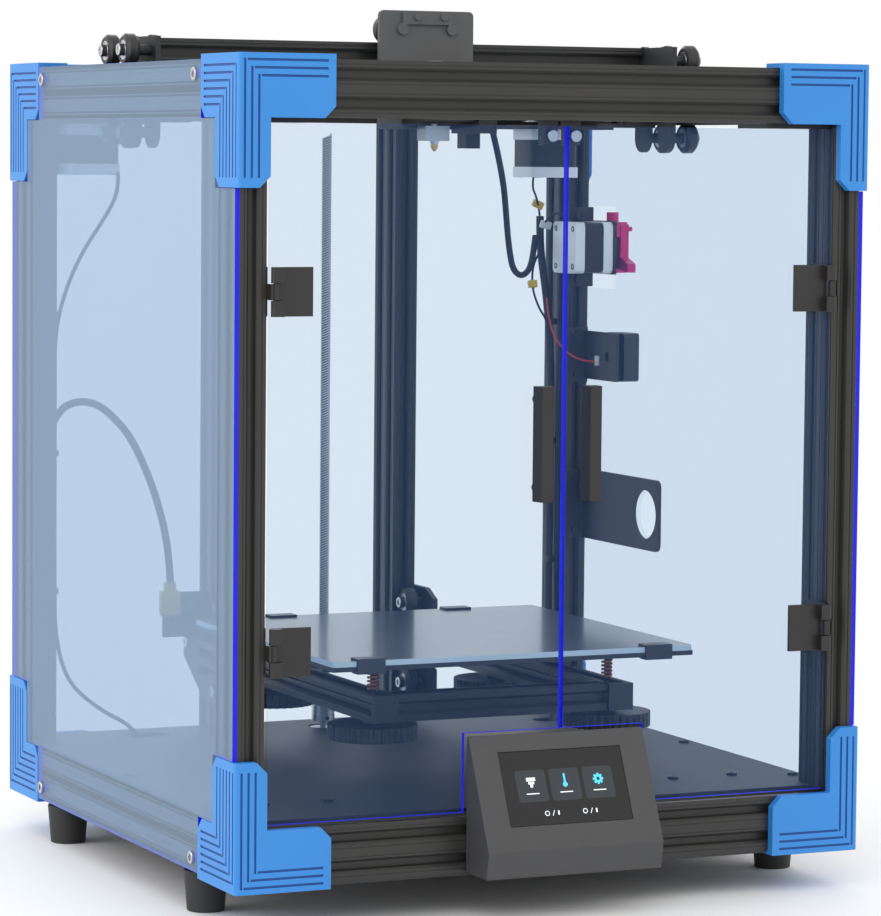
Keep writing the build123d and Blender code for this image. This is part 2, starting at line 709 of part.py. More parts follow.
with BuildPart() as bed_frame:
    for side in (-1, 1):
        long_bar(side * bed_arm_x, arm_front, bed_arm_z, 1, arm_rear - arm_front)
        block((side * bed_arm_x - 10, side * bed_arm_x + 10), (arm_front - 3, arm_front - gap),
              (arm_low, arm_high))
        for y in bed_screws_y:
            rod((side * bed_arm_x, y, arm_low - 1), (0, 0, 1), 2.5, bar + 2, Mode.SUBTRACT)
    for y in (-145, 150):
        cross_bar(-bed_arm_x + bar / 2 + gap, y, bed_arm_z, 1, 2 * (bed_arm_x - bar / 2 - gap))
    block((-20, 20), (140, 202), (arm_low - 4 - gap, arm_low - gap))
    rod((0, screw_y, arm_low - gap), (0, 0, 1), 11, 3.5)
    rod((0, screw_y, arm_low - 7), (0, 0, 1), 5.1, 5)
    rod((0, screw_y, arm_low - 8), (0, 0, 1), 4.05, 14, Mode.SUBTRACT)
save(bed_frame, "bed_frame")

with BuildPart() as bed_side_plates:
    for side in (-1, 1):
        start = side_plate_x if side > 0 else -side_plate_x - side_plate_t
        with BuildSketch(Plane.YZ.offset(start)):
            Polygon((166, 176), (182, 184), (214, 184), (262, 151), (262, 127), (214, 94), (182, 94), (166, 102),
                    (166, 118), (192.1, 126), (192.1, 150), (166, 160), align=None)
        extrude(amount=side_plate_t)
        corner = sorted((side * (side_plate_x + side_plate_t), side * (bed_arm_x + bar / 2)))
        block(corner, (arm_rear + gap, 202), (120, 156))
        for y, z in bed_wheels.values():
            rod((side * side_plate_x, y, z), (-side, 0, 0), spacer_r, 6.1)
            rod((side * side_plate_x, y, z), (-side, 0, 0), axle_r, side_plate_x - 68)
            rod((side * (rail_x - wheel_w / 2 - 0.3), y, z), (-side, 0, 0), 4.5, 3)
            rod((side * (side_plate_x + side_plate_t), y, z), (side, 0, 0), 4.5, 2.6)
    block((-132, -92.5), (204, 207), (150, 186))
save(bed_side_plates, "bed_side_plates")

for label, (y, z) in bed_wheels.items():
    with BuildPart() as wheel_pair:
        for side in (-1, 1):
            wheel_across(side * rail_x, y, z)
    save(wheel_pair, label)

with BuildPart() as heated_plate:
    block((-bed_half_x, bed_half_x), (bed_front, bed_rear), (bed_plate_z - 3.5, bed_plate_z))
    for x in (-bed_arm_x, bed_arm_x):
        for y in bed_screws_y:
            rod((x, y, 111), (0, 0, 1), 2, bed_plate_z - 113)
save(heated_plate, "heated_plate")

with BuildPart() as print_glass:
    with BuildSketch(Plane.XY.offset(bed_plate_z)):
        with Locations((0, (bed_front + bed_rear) / 2)):
            RectangleRounded(2 * bed_half_x, bed_rear - bed_front, 3)
    extrude(amount=glass_top - bed_plate_z)
save(print_glass, "print_glass")

clip_w = 22.0
with BuildPart() as glass_clips:
    for x in (-116, 116):
        block((x - clip_w / 2, x + clip_w / 2), (bed_front - 2, bed_front - gap), (167.5, 178.6))
        block((x - clip_w / 2, x + clip_w / 2), (bed_front - gap, bed_front + 11), (glass_top, 178.6))
        block((x - clip_w / 2, x + clip_w / 2), (bed_front - gap, bed_front + 9), (167.5, 169.4))
    for x in (-75, 75):
        block((x - clip_w / 2, x + clip_w / 2), (bed_rear + gap, bed_rear + 2), (167.5, 178.6))
        block((x - clip_w / 2, x + clip_w / 2), (bed_rear - 11, bed_rear + gap), (glass_top, 178.6))
        block((x - clip_w / 2, x + clip_w / 2), (bed_rear - 9, bed_rear + gap), (167.5, 169.4))
save(glass_clips, "glass_clips")

with BuildPart() as bed_springs:
    for x in (-bed_arm_x, bed_arm_x):
        for y in bed_screws_y:
            rod((x, y, arm_high), (0, 0, 1), 4.5, bed_plate_z - 3.5 - arm_high)
            rod((x, y, arm_high - 1), (0, 0, 1), 3.4, 25, Mode.SUBTRACT)
save(bed_springs, "bed_springs")

knob_low = 114.0
knob_high = 125.0
knob_r = 33.0
for end, y in zip(("front", "rear"), bed_screws_y):
    for hand, x in (("left", -bed_arm_x), ("right", bed_arm_x)):
        with BuildPart() as knob:
            with BuildSketch(Plane.XY.offset(knob_low)):
                with Locations((x, y)):
                    Circle(knob_r)
                    with PolarLocations(knob_r + 0.5, 36):
                        Circle(1.7, mode=Mode.SUBTRACT)
            extrude(amount=knob_high - knob_low)
            with BuildSketch(Plane.XY.offset(knob_low)):
                with Locations((x, y)):
                    Circle(27)
                    Circle(9, mode=Mode.SUBTRACT)
            extrude(amount=4, mode=Mode.SUBTRACT)
            rod((x, y, knob_low), (0, 0, 1), 7, 13.7)
            rod((x, y, knob_low - 1), (0, 0, 1), 2.05, 16, Mode.SUBTRACT)
        save(knob, f"{end}_{hand}_knob")

# ---- Extruder, filament sensor and spool plate -----------------------------
post_face = inner_y
flange_x = (inner_x + 0.3, frame_half_x - 0.7)
with BuildPart() as post_brackets:
    block((flange_x[0], motor_plate_x + 3), (post_face - 3, post_face), (430, 496))
    block((motor_plate_x, motor_plate_x + 3), (extruder_y - 22, post_face), (extruder_z - 22, extruder_z + 22))
    rod((motor_plate_x - 1, extruder_y, extruder_z), (1, 0, 0), 11.3, 5, Mode.SUBTRACT)
    block(flange_x, (post_face - 3, post_face), (350, 396))
    block((239.8, 242.8), (140, post_face), (sensor_z - 20, sensor_z + 20))
    rod((239, sensor_y, sensor_z), (1, 0, 0), 4, 5, Mode.SUBTRACT)
    block(flange_x, (post_face - 3, post_face), (219.6, 277.6))
    with BuildSketch(Plane.YZ.offset(239.8)):
        with Locations(((62 + post_face) / 2, spool_z)):
            RectangleRounded(post_face - 62, 58, 6)
        with Locations((post_face - 5, spool_z)):
            Rectangle(10, 58)
        with Locations((spool_y, spool_z)):
            Circle(spool_r, mode=Mode.SUBTRACT)
    extrude(amount=3)
    for z in (436, 489, 357, 389, 226, 271):
        rod((post_x, post_face - 3, z), (0, -1, 0), 4.2, 2.6)
save(post_brackets, "post_brackets")

body_in = 247.3
body_out = 263.3
pivot_y = extruder_y - 15.5
pivot_z = extruder_z + 15.5
gear_r = 5.5
with BuildPart() as extruder_body:
    with BuildSketch(Plane.YZ.offset(body_in)):
        with Locations((extruder_y, extruder_z)):
            RectangleRounded(42, 42, 4)
            Circle(11.5, mode=Mode.SUBTRACT)
        with Locations((extruder_y - 15, extruder_z)):
            Rectangle(14, 44, mode=Mode.SUBTRACT)
    extrude(amount=body_out - body_in)
    block((body_in, body_in + 3), (extruder_y - 21, extruder_y - 7), (extruder_z + 9, extruder_z + 21))
    rod((body_in, pivot_y, pivot_z), (1, 0, 0), 2, 16)
    rod((body_in + 8, extruder_y + 3, extruder_z + 20), (0, 0, 1), 5, 9)
    for y in (-15.5, 15.5):
        rod((body_out, extruder_y + abs(y), extruder_z + y), (1, 0, 0), 2.8, 2.6)
save(extruder_body, "extruder_body")

with BuildPart() as extruder_gear:
    rod((body_in + 2, extruder_y, extruder_z), (1, 0, 0), gear_r, 12.5)
    with BuildSketch(Plane.YZ.offset(body_in + 5)):
        with Locations((extruder_y, extruder_z)):
            with PolarLocations(gear_r, 24):
                Circle(0.4)
    extrude(amount=5, mode=Mode.SUBTRACT)
    rod((body_in + 1, extruder_y, extruder_z), (1, 0, 0), 2.55, 10.3, Mode.SUBTRACT)
save(extruder_gear, "extruder_gear")

with BuildPart() as extruder_lever:
    with BuildSketch(Plane.YZ.offset(body_in + 3.5)):
        Polygon((extruder_y - 21, extruder_z + 19.5), (extruder_y - 12, extruder_z + 19.5),
                (extruder_y - 9.5, extruder_z + 4), (extruder_y - 10.5, extruder_z - 11),
                (extruder_y - 13, extruder_z - 17), (extruder_y - 34, extruder_z - 20),
                (extruder_y - 34, extruder_z - 13), (extruder_y - 21, extruder_z - 8), align=None)
        with Locations((pivot_y, pivot_z)):
            Circle(2.08, mode=Mode.SUBTRACT)
    extrude(amount=7.5)
    rod((body_in + 4, extruder_y - 12, extruder_z), (1, 0, 0), 4.5, 6)
save(extruder_lever, "extruder_lever")

with BuildPart() as filament_sensor:
    with BuildSketch(Plane.YZ.offset(body_in)):
        with Locations((sensor_y, sensor_z)):
            RectangleRounded(32, 40, 3)
    extrude(amount=14)
    rod((body_in + 7, sensor_y, sensor_z - 21), (0, 0, 1), 1.6, 42, Mode.SUBTRACT)
    for y, z in ((-12, -16), (12, 16), (-12, 16), (12, -16)):
        rod((body_in + 14, sensor_y + y, sensor_z + z), (1, 0, 0), 2, 1)
save(filament_sensor, "filament_sensor")

# ---- Electronics in the base ----------------------------------------------
with BuildPart() as power_supply:
    block((-205, 10), (-60, 55), (33, 63))
    with Locations((-110, -2, 61.5)):
        with GridLocations(9, 0, 14, 1):
            Box(3, 60, 4, mode=Mode.SUBTRACT)
    block((-10, 9), (-40, 35), (50, 64), Mode.SUBTRACT)
    for index in range(7):
        block((-8, 7), (-37 + 10 * index, -30 + 10 * index), (50, 57))
save(power_supply, "power_supply")

with BuildPart() as control_board:
    block((60, 170), (-40, 50), (38, 39.6))
    for x, y in ((66, -34), (164, -34), (66, 44), (164, 44)):
        rod((x, y, base_bottom + 0.02), (0, 0, 1), 3, 6.6)
    for index in range(4):
        block((76 + 22 * index, 90 + 22 * index), (0, 14), (39.6, 48))
    for index in range(6):
        block((70 + 16 * index, 80 + 16 * index), (-38, -30), (39.6, 46))
    block((72, 94), (26, 46), (39.6, 52))
    block((110, 140), (24, 44), (39.6, 43))
save(control_board, "control_board")

rocker_x = 160.0
rocker_y = 232.0
box_rear = 240.0
with BuildPart() as power_inlet:
    block((inlet_left + 0.3, inner_x - 0.3), (195, box_rear), (base_bottom + 0.2, base_top - 0.2))
    block((inlet_left + 2, inner_x - 2), (194, box_rear - 2), (base_bottom + 2, base_top - 2), Mode.SUBTRACT)
    block((114, 142), (box_rear - 3, box_rear + 1), (40.5, 62.5), Mode.SUBTRACT)
    block((rocker_x - 11, rocker_x + 11), (box_rear - 3, box_rear + 1), (43, 60), Mode.SUBTRACT)
    block((114.1, 141.9), (212, 238), (40.6, 62.4))
    block((117, 139), (218, 239), (44.5, 60), Mode.SUBTRACT)
    for x in (121, 128, 135):
        block((x - 1, x + 1), (217.9, 234), (50, 54))
save(power_inlet, "power_inlet")

with BuildPart() as power_rocker:
    with BuildSketch(Plane.XY.offset(44.5)):
        with Locations((rocker_x, rocker_y)):
            Polygon((-9.2, -1), (9.2, -1), (9.2, 8.2), (0, 6.6), (-9.2, 8.2), rotation=-7, align=None)
    extrude(amount=14)
save(power_rocker, "power_rocker")

# ---- Screws of the panels and the deck -------------------------------------
with BuildPart() as frame_screws:
    for side in (-1, 1):
        for y in (-panel_bolt_y, panel_bolt_y):
            for z in panel_bolts_z:
                rod((side * panel_outer, y, z), (side, 0, 0), 4.75, 2.4)
                rod((side * panel_outer, y, z), (-side, 0, 0), 2.5, 8)
        for x, y in ((post_x, -174), (post_x, 0), (post_x, 174), (190, -158), (140, -158)):
            rod((side * x, y, deck_top), (0, 0, 1), 4, 2)
save(frame_screws, "frame_screws")


# ---- Wiring ----------------------------------------------------------------
def arc_radii(points):
    """Radius of the arc at each inner point: 0.45 of the shorter run, by half the turn."""
    radii = []
    for before, here, after in zip(points, points[1:], points[2:]):
        first = Vector(*here) - Vector(*before)
        second = Vector(*after) - Vector(*here)
        turn = math.radians(first.get_angle(second))
        radii.append(0.45 * min(first.length, second.length) / math.tan(turn / 2))
    return radii


def lead(points, radius, name):
    radii = arc_radii(points)
    with BuildLine() as route:
        FilletPolyline(*points, radius=radii)
    wire = route.wires()[0]
    with BuildSketch(Plane(origin=wire @ 0, z_dir=wire % 0)) as section:
        Circle(radius)
    before = BuildPart._get_context().part
    held = before.volume if before else 0
    sweep(section.sketch, path=wire)
    made = BuildPart._get_context().part.volume - held
    print(name, "radii", [round(value, 1) for value in radii],
          "volume over section x length", round(made / (math.pi * radius ** 2 * wire.length), 4))


loom_r = 3.2
lead_r = 1.6
hot_loom_r = 2.6
bed_cable_r = 3.0
right_loom_route = [(206.5, 217, 488), (207, 218, 470), (209.5, 219, 450), (214, 219.4, 424),
                    (217.5, 219.6, 394), (219.6, 219.4, 352), (219.4, 219.8, 300), (219.7, 219.4, 250),
                    (219.4, 219.8, 200), (219, 219, 152), (215.5, 207, 118), (206, 181, 92),
                    (194, 156, 77), (189, 150.3, 60)]
left_lead_route = [(-183, 172.9, 522), (-182, 171.5, 508), (-192.5, 180, 484.5), (-206, 189, 461),
                   (-217, 199, 430), (-221.1, 212, 396), (-221.3, 213, 350), (-221.2, 212, 304),
                   (-221.3, 213, 254), (-221.2, 212, 204), (-220.6, 213, 154), (-212, 208, 117),
                   (-188, 198, 95), (-160, 190.5, 80), (-150, 190, 62)]
with BuildPart() as wire_looms:
    lead(right_loom_route, loom_r, "right loom")
    lead(left_lead_route, lead_r, "left lead")
save(wire_looms, "wire_looms")

bed_cable_route = [(-219.8, 224, 320), (-216, 218, 334), (-204, 208, 341.5), (-190, 203.5, 339.5),
                   (-177, 202, 330), (-160.5, 202, 312), (-143.5, 202, 276), (-133.5, 201, 243),
                   (-128.5, 200.5, 215), (-127, 200, 184)]
with BuildPart() as bed_cable:
    lead(bed_cable_route, bed_cable_r, "bed cable")
    block((-136, -120), (196, 203.8), (168, 188))
save(bed_cable, "bed_cable")

hot_end_loom_route = [(42, 70, 622), (62, 92, 632), (88, 116, 626), (110, 134, 602), (127, 149, 568),
                      (139, 158, 540), (148.5, 166, 514), (154.5, 174, 492), (160, 182, 474),
                      (165, 188, 458), (169.8, 191.4, 443.9), (181.4, 199.4, 438), (193, 207.4, 443.9),
                      (197.8, 210.8, 458), (200.5, 213, 472)]
with BuildPart() as hot_end_loom:
    lead(hot_end_loom_route, hot_loom_r, "hot end loom")
save(hot_end_loom, "hot_end_loom")
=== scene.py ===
import json
import math

import bmesh
import bpy
from mathutils import Matrix, Vector


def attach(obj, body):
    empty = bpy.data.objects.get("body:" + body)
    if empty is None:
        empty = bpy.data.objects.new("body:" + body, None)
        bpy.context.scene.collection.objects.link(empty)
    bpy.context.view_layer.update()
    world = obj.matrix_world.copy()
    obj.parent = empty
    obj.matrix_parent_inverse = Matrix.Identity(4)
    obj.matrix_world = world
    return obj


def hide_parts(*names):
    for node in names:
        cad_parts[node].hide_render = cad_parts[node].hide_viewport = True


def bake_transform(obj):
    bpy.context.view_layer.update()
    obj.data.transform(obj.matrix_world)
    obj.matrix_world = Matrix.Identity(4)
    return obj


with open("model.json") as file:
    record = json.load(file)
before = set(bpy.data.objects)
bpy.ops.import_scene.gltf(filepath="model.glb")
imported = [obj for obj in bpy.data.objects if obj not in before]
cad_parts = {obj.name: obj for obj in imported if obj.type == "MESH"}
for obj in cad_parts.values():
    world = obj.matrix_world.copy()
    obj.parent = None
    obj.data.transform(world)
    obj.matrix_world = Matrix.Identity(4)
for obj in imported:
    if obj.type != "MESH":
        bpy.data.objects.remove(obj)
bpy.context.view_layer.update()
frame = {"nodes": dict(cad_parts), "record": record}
nodes = frame["nodes"]
nodeBody = {name: body for body, names in frame["record"]["behaviour"]["bodies"].items() for name in names}
slotOf = {row["node"]: row["material_slot"] for row in frame["record"]["subparts"]}
mm = 0.001
print("frame loaded:", len(nodes), "parts")

# Camera, lights and the bench
camera = {"place": (-1.22809, -2.73288, 0.54006), "right": (0.91011, -0.41427, 0.00902),
          "look": (0.41367, 0.90711, -0.07764), "lens": 154.05}


def makeCamera():
    look = Vector(camera["look"]).normalized()
    right = Vector(camera["right"]).normalized()
    up = right.cross(look).normalized()
    turn = Matrix((right, up, -look)).transposed().to_4x4()
    made = bpy.data.objects.new("camera", bpy.data.cameras.new("camera"))
    made.data.lens = camera["lens"]
    made.data.sensor_width = 36
    made.data.clip_end = 50
    made.matrix_world = Matrix.Translation(camera["place"]) @ turn
    bpy.context.scene.collection.objects.link(made)
    bpy.context.scene.camera = made


lamps = {"key": {"place": (-1.5, -2.6, 2.6), "size": 2.2, "power": 22},
         "left": {"place": (-2.8, 0.2, 1.2), "size": 2.0, "power": 24},
         "right": {"place": (2.6, -1.2, 1.6), "size": 1.6, "power": 8},
         "rear": {"place": (0.4, 2.6, 2.2), "size": 2.0, "power": 12}}


def makeLamps():
    for name, lamp in lamps.items():
        data = bpy.data.lights.new(name, "AREA")
        data.size = lamp["size"]
        data.energy = lamp["power"]
        made = bpy.data.objects.new(name, data)
        made.location = lamp["place"]
        aim = Vector((0, 0, 0.3)) - Vector(lamp["place"])
        made.rotation_euler = aim.to_track_quat("-Z", "Y").to_euler()
        bpy.context.scene.collection.objects.link(made)


# Shader maths: a wire is a socket that can be added and multiplied
class Wire:
    def __init__(self, finish, socket):
        self.finish = finish
        self.socket = socket

    def __add__(self, other):
        return self.finish.maths("ADD", self, other)

    def __mul__(self, other):
        return self.finish.maths("MULTIPLY", self, other)

    __radd__ = __add__
    __rmul__ = __mul__


class Finish:
    def __init__(self, name):
        self.material = bpy.data.materials.new(name)
        self.material.use_nodes = True
        self.tree = self.material.node_tree
        self.tree.nodes.clear()
        self.out = self.tree.nodes.new("ShaderNodeOutputMaterial")
        self.where = self.make("ShaderNodeTexCoord", {}, {}, "Object")

    def make(self, kind, settings, sockets, output):
        node = self.tree.nodes.new(kind)
        for key, value in settings.items():
            setattr(node, key, value)
        for key, value in sockets.items():
            if isinstance(value, Wire):
                self.tree.links.new(value.socket, node.inputs[key])
            else:
                node.inputs[key].default_value = value
        return Wire(self, node.outputs[output])

    def maths(self, operation, first, second):
        return self.make("ShaderNodeMath", {"operation": operation}, {0: first, 1: second}, 0)

    def noise(self, scale, detail=2.0, stretch=(1, 1, 1)):
        spread = self.make("ShaderNodeMapping", {}, {"Vector": self.where, "Scale": stretch}, "Vector")
        return self.make("ShaderNodeTexNoise", {}, {"Vector": spread, "Scale": scale, "Detail": detail}, 0)

    def mix(self, share, first, second):
        return self.make("ShaderNodeMix", {"data_type": "RGBA"}, {0: share, 6: first, 7: second}, 2)

    def bump(self, height, depth):
        sockets = {"Height": height, "Distance": depth, "Strength": 1.0}
        return self.make("ShaderNodeBump", {}, sockets, "Normal")

    def shine(self, sockets):
        return self.make("ShaderNodeBsdfPrincipled", {}, sockets, "BSDF")

    def finish(self, surface):
        self.tree.links.new(surface.socket, self.out.inputs["Surface"])
        return self.material


def rgb(red, green, blue, alpha=1.0):
    return (red, green, blue, alpha)


def solidFinish(name, dark, light, rough, roughSpread=0.08, metal=0.0, grain=900, grainDepth=0.00003,
                stretch=(1, 1, 1), cloud=18, coat=0.0, specular=0.5):
    # two close tones in slow clouds, with a fine grain in the gloss and the bump
    made = Finish(name)
    clouds = made.noise(cloud, 3.0)
    fine = made.noise(grain, 2.0, stretch)
    sockets = {"Base Color": made.mix(clouds, rgb(*dark), rgb(*light)),
               "Roughness": fine * roughSpread + clouds * roughSpread + (rough - roughSpread),
               "Metallic": metal, "Specular IOR Level": specular,
               "Normal": made.bump(fine, grainDepth)}
    if coat:
        sockets["Coat Weight"] = coat
        sockets["Coat Roughness"] = 0.12
    return made.finish(made.shine(sockets))


def sheetFinish(name, through, body, share, glancing, rough):
    # see-through sheet: a tinted clear layer, and a glossy body that shows more at a glancing angle
    made = Finish(name)
    slow = made.noise(2.5, 2.0)
    clear = made.make("ShaderNodeBsdfTransparent", {}, {"Color": rgb(*through)}, "BSDF")
    gloss = made.shine({"Base Color": made.mix(slow, rgb(*body), rgb(*[c * 1.06 for c in body])),
                        "Roughness": slow * 0.04 + rough, "IOR": 1.49})
    rim = made.make("ShaderNodeLayerWeight", {}, {"Blend": 0.35}, "Facing")
    share = rim * glancing + share
    return made.finish(made.make("ShaderNodeMixShader", {}, {0: share, 1: clear, 2: gloss}, "Shader"))


def glowFinish(name, base, glow, strength, rough=0.2):
    made = Finish(name)
    slow = made.noise(60, 2.0)
    colour = made.mix(slow, rgb(*glow), rgb(*[c * 0.85 for c in glow]))
    return made.finish(made.shine({"Base Color": rgb(*base), "Roughness": rough,
                                   "Emission Color": colour, "Emission Strength": strength}))


finishes = {
    "anodised": solidFinish("anodised bars", (0.034, 0.033, 0.032), (0.048, 0.047, 0.045), 0.36, 0.06, 0.35,
                            1400, 0.00001),
    "blue": solidFinish("blue moulding", (0.026, 0.225, 0.620), (0.032, 0.250, 0.680), 0.42, 0.06, 0.0,
                        1600, 0.00003),
    # a darker blue for the caps' grooves: painted shade in the recesses of the same blue moulding
    "bluePaintedGrooveShade": solidFinish("groove shade", (0.006, 0.070, 0.300), (0.008, 0.085, 0.350), 0.50, 0.06, 0.0,
                            1600, 0.00003),
    "coat": solidFinish("powder coat", (0.018, 0.019, 0.022), (0.026, 0.027, 0.031), 0.52, 0.08, 0.0,
                        1800, 0.00004),
    "greyCoat": solidFinish("grey powder coat", (0.080, 0.080, 0.081), (0.105, 0.105, 0.106), 0.50, 0.08, 0.0,
                            1800, 0.00004),
    "rubber": solidFinish("foot rubber", (0.016, 0.016, 0.016), (0.026, 0.026, 0.026), 0.62, 0.08, 0.0,
                          1200, 0.00005),
    "case": solidFinish("display case", (0.050, 0.050, 0.052), (0.062, 0.062, 0.064), 0.50, 0.08, 0.0,
                        2600, 0.00006),
    "black": solidFinish("black plastic", (0.014, 0.013, 0.013), (0.022, 0.020, 0.019), 0.40, 0.08, 0.0,
                         1500, 0.00003),
    "acetal": solidFinish("wheel acetal", (0.016, 0.016, 0.017), (0.026, 0.026, 0.027), 0.38, 0.06, 0.0,
                          1300, 0.00002),
    "steel": solidFinish("zinc steel", (0.50, 0.50, 0.52), (0.64, 0.64, 0.66), 0.28, 0.08, 1.0,
                         2200, 0.00001),
    "darkSteel": solidFinish("black oxide steel", (0.05, 0.05, 0.055), (0.08, 0.08, 0.085), 0.36, 0.08, 0.9,
                             2200, 0.00001),
    "motorCap": solidFinish("motor end plate", (0.70, 0.71, 0.73), (0.84, 0.85, 0.87), 0.36, 0.08, 0.25,
                            1800, 0.00002),
    # near-black: the motors' own laminations, and painted shade in the lead screw's thread roots
    "laminateAndThreadShade": solidFinish("motor laminations and thread root shade", (0.012, 0.012, 0.013), (0.030, 0.030, 0.032), 0.45, 0.08,
                            0.3, 300, 0.00005, (1, 1, 12)),
    "machined": solidFinish("machined aluminium", (0.58, 0.59, 0.61), (0.70, 0.71, 0.73), 0.30, 0.08, 1.0,
                            1800, 0.00001),
    "brass": solidFinish("brass", (0.62, 0.42, 0.15), (0.74, 0.52, 0.21), 0.28, 0.06, 1.0, 1800, 0.00001),
    "copper": solidFinish("spring wire", (0.58, 0.20, 0.07), (0.74, 0.30, 0.12), 0.30, 0.06, 0.5,
                          1800, 0.00001),
    "belt": solidFinish("belt rubber", (0.010, 0.010, 0.010), (0.020, 0.020, 0.020), 0.60, 0.06, 0.0,
                        900, 0.00008, (1, 1, 0.1)),
    "sleeve": solidFinish("braided sleeve", (0.010, 0.010, 0.011), (0.030, 0.030, 0.032), 0.60, 0.08, 0.0,
                          700, 0.00025),
    # pale steel for the lead screw's flanks and crests, lifted as a painted highlight
    "screwSteelHighlight": solidFinish("screw crests painted highlight", (0.66, 0.67, 0.69), (0.80, 0.81, 0.83), 0.30, 0.06, 0.35,
                              1800, 0.00001),
    "red": solidFinish("red anodised", (0.52, 0.012, 0.120), (0.70, 0.025, 0.200), 0.28, 0.06, 0.45,
                       1800, 0.00001),
    "board": solidFinish("circuit board", (0.010, 0.075, 0.035), (0.016, 0.100, 0.050), 0.40, 0.08, 0.0,
                         700, 0.00003),
    "whitePlastic": solidFinish("white connector", (0.62, 0.62, 0.60), (0.74, 0.74, 0.72), 0.40, 0.06, 0.0,
                                900, 0.00003),
    "wireRed": solidFinish("red wire", (0.50, 0.02, 0.02), (0.64, 0.04, 0.03), 0.45, 0.06, 0.0, 900, 0.00003),
    "yellow": solidFinish("yellow connector", (0.62, 0.40, 0.02), (0.74, 0.50, 0.04), 0.40, 0.06, 0.0,
                          900, 0.00003),
    "hotPlate": solidFinish("heated plate", (0.030, 0.030, 0.032), (0.045, 0.045, 0.047), 0.42, 0.06, 0.4,
                            1200, 0.00002),
    "plateGlass": solidFinish("print surface", (0.024, 0.038, 0.062), (0.034, 0.052, 0.082), 0.30, 0.08, 0.0,
                              3200, 0.00003, (1, 1, 1), 30, 0.6),
    "glassEdge": solidFinish("cut glass edge", (0.52, 0.62, 0.66), (0.72, 0.80, 0.84), 0.20, 0.06, 0.0,
                             900, 0.00002),
    "screen": solidFinish("screen glass", (0.006, 0.006, 0.007), (0.009, 0.009, 0.010), 0.12, 0.04, 0.0,
                          900, 0.000002),
    # the two side sheets are one acrylic: the left copy is hazier and paler blue as a painted reflection of
    # the bright light falling from the left, the right copy is kept nearly clear as its shaded twin
    "leftSheetPaintedHaze": sheetFinish("tinted sheet", (0.74, 0.80, 0.87), (0.39, 0.545, 0.73), 0.12, 0.42, 0.30),
    "sheet": sheetFinish("clear tinted sheet", (0.87, 0.92, 0.965), (0.10, 0.22, 0.52), 0.05, 0.06, 0.06),
    "rightSheet": sheetFinish("right sheet less painted haze", (0.965, 0.98, 0.995), (0.10, 0.22, 0.52), 0.015, 0.03,
                              0.06),
    # the sheets' cut edges glow: painted light, since nothing in the acrylic is a lamp
    "sheetEdgePaintedGlow": glowFinish("sheet edge painted glow", (0.0, 0.001, 0.30), (0.0, 0.002, 0.55), 0.75, 0.7),
    "tile": glowFinish("screen tile", (0.020, 0.024, 0.030), (0.020, 0.026, 0.034), 0.5),
    "iconWhite": glowFinish("icon white", (0.7, 0.7, 0.7), (0.85, 0.90, 0.95), 0.7),
    "iconBlue": glowFinish("icon blue", (0.05, 0.4, 0.6), (0.10, 0.62, 0.85), 0.8),
}
print("finishes made:", len(finishes))


def dress(obj, *names):
    for index, name in enumerate(names):
        if index < len(obj.data.materials):
            obj.data.materials[index] = finishes[name]
        else:
            obj.data.materials.append(finishes[name])
    return obj


def adopt(obj, body):
    bpy.context.scene.collection.objects.link(obj)
    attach(obj, body)
    return obj


def fromBmesh(name, bm, smooth=True):
    mesh = bpy.data.meshes.new(name)
    bmesh.ops.recalc_face_normals(bm, faces=bm.faces)
    for face in bm.faces:
        face.smooth = smooth
    bm.to_mesh(mesh)
    bm.free()
    return bpy.data.objects.new(name, mesh)


def mergedCopy(node, keep=None):
    # a welded copy of a CAD part, as a bmesh; keep picks the faces that stay
    bm = bmesh.new()
    bm.from_mesh(nodes[node].data)
    bmesh.ops.remove_doubles(bm, verts=bm.verts, dist=1e-6)
    if keep:
        going = [face for face in bm.faces if not keep(face.calc_center_median())]
        bmesh.ops.delete(bm, geom=going, context="FACES")
    bmesh.ops.dissolve_limit(bm, angle_limit=math.radians(0.4), verts=bm.verts, edges=bm.edges)
    return bm


def addBevel(obj, width):
    bevel = obj.modifiers.new("rounded edges", "BEVEL")
    bevel.width = width * mm
    bevel.segments = 2
    bevel.limit_method = "ANGLE"
    bevel.angle_limit = math.radians(35)
    bevel.harden_normals = True
    bevel.use_clamp_overlap = True


def shadeByAngle(obj, angle=35):
    limit = math.cos(math.radians(angle))
    bm = bmesh.new()
    bm.from_mesh(obj.data)
    for edge in bm.edges:
        faces = edge.link_faces
        edge.smooth = len(faces) == 2 and faces[0].normal.dot(faces[1].normal) > limit
    for face in bm.faces:
        face.smooth = True
    bm.to_mesh(obj.data)
    bm.free()


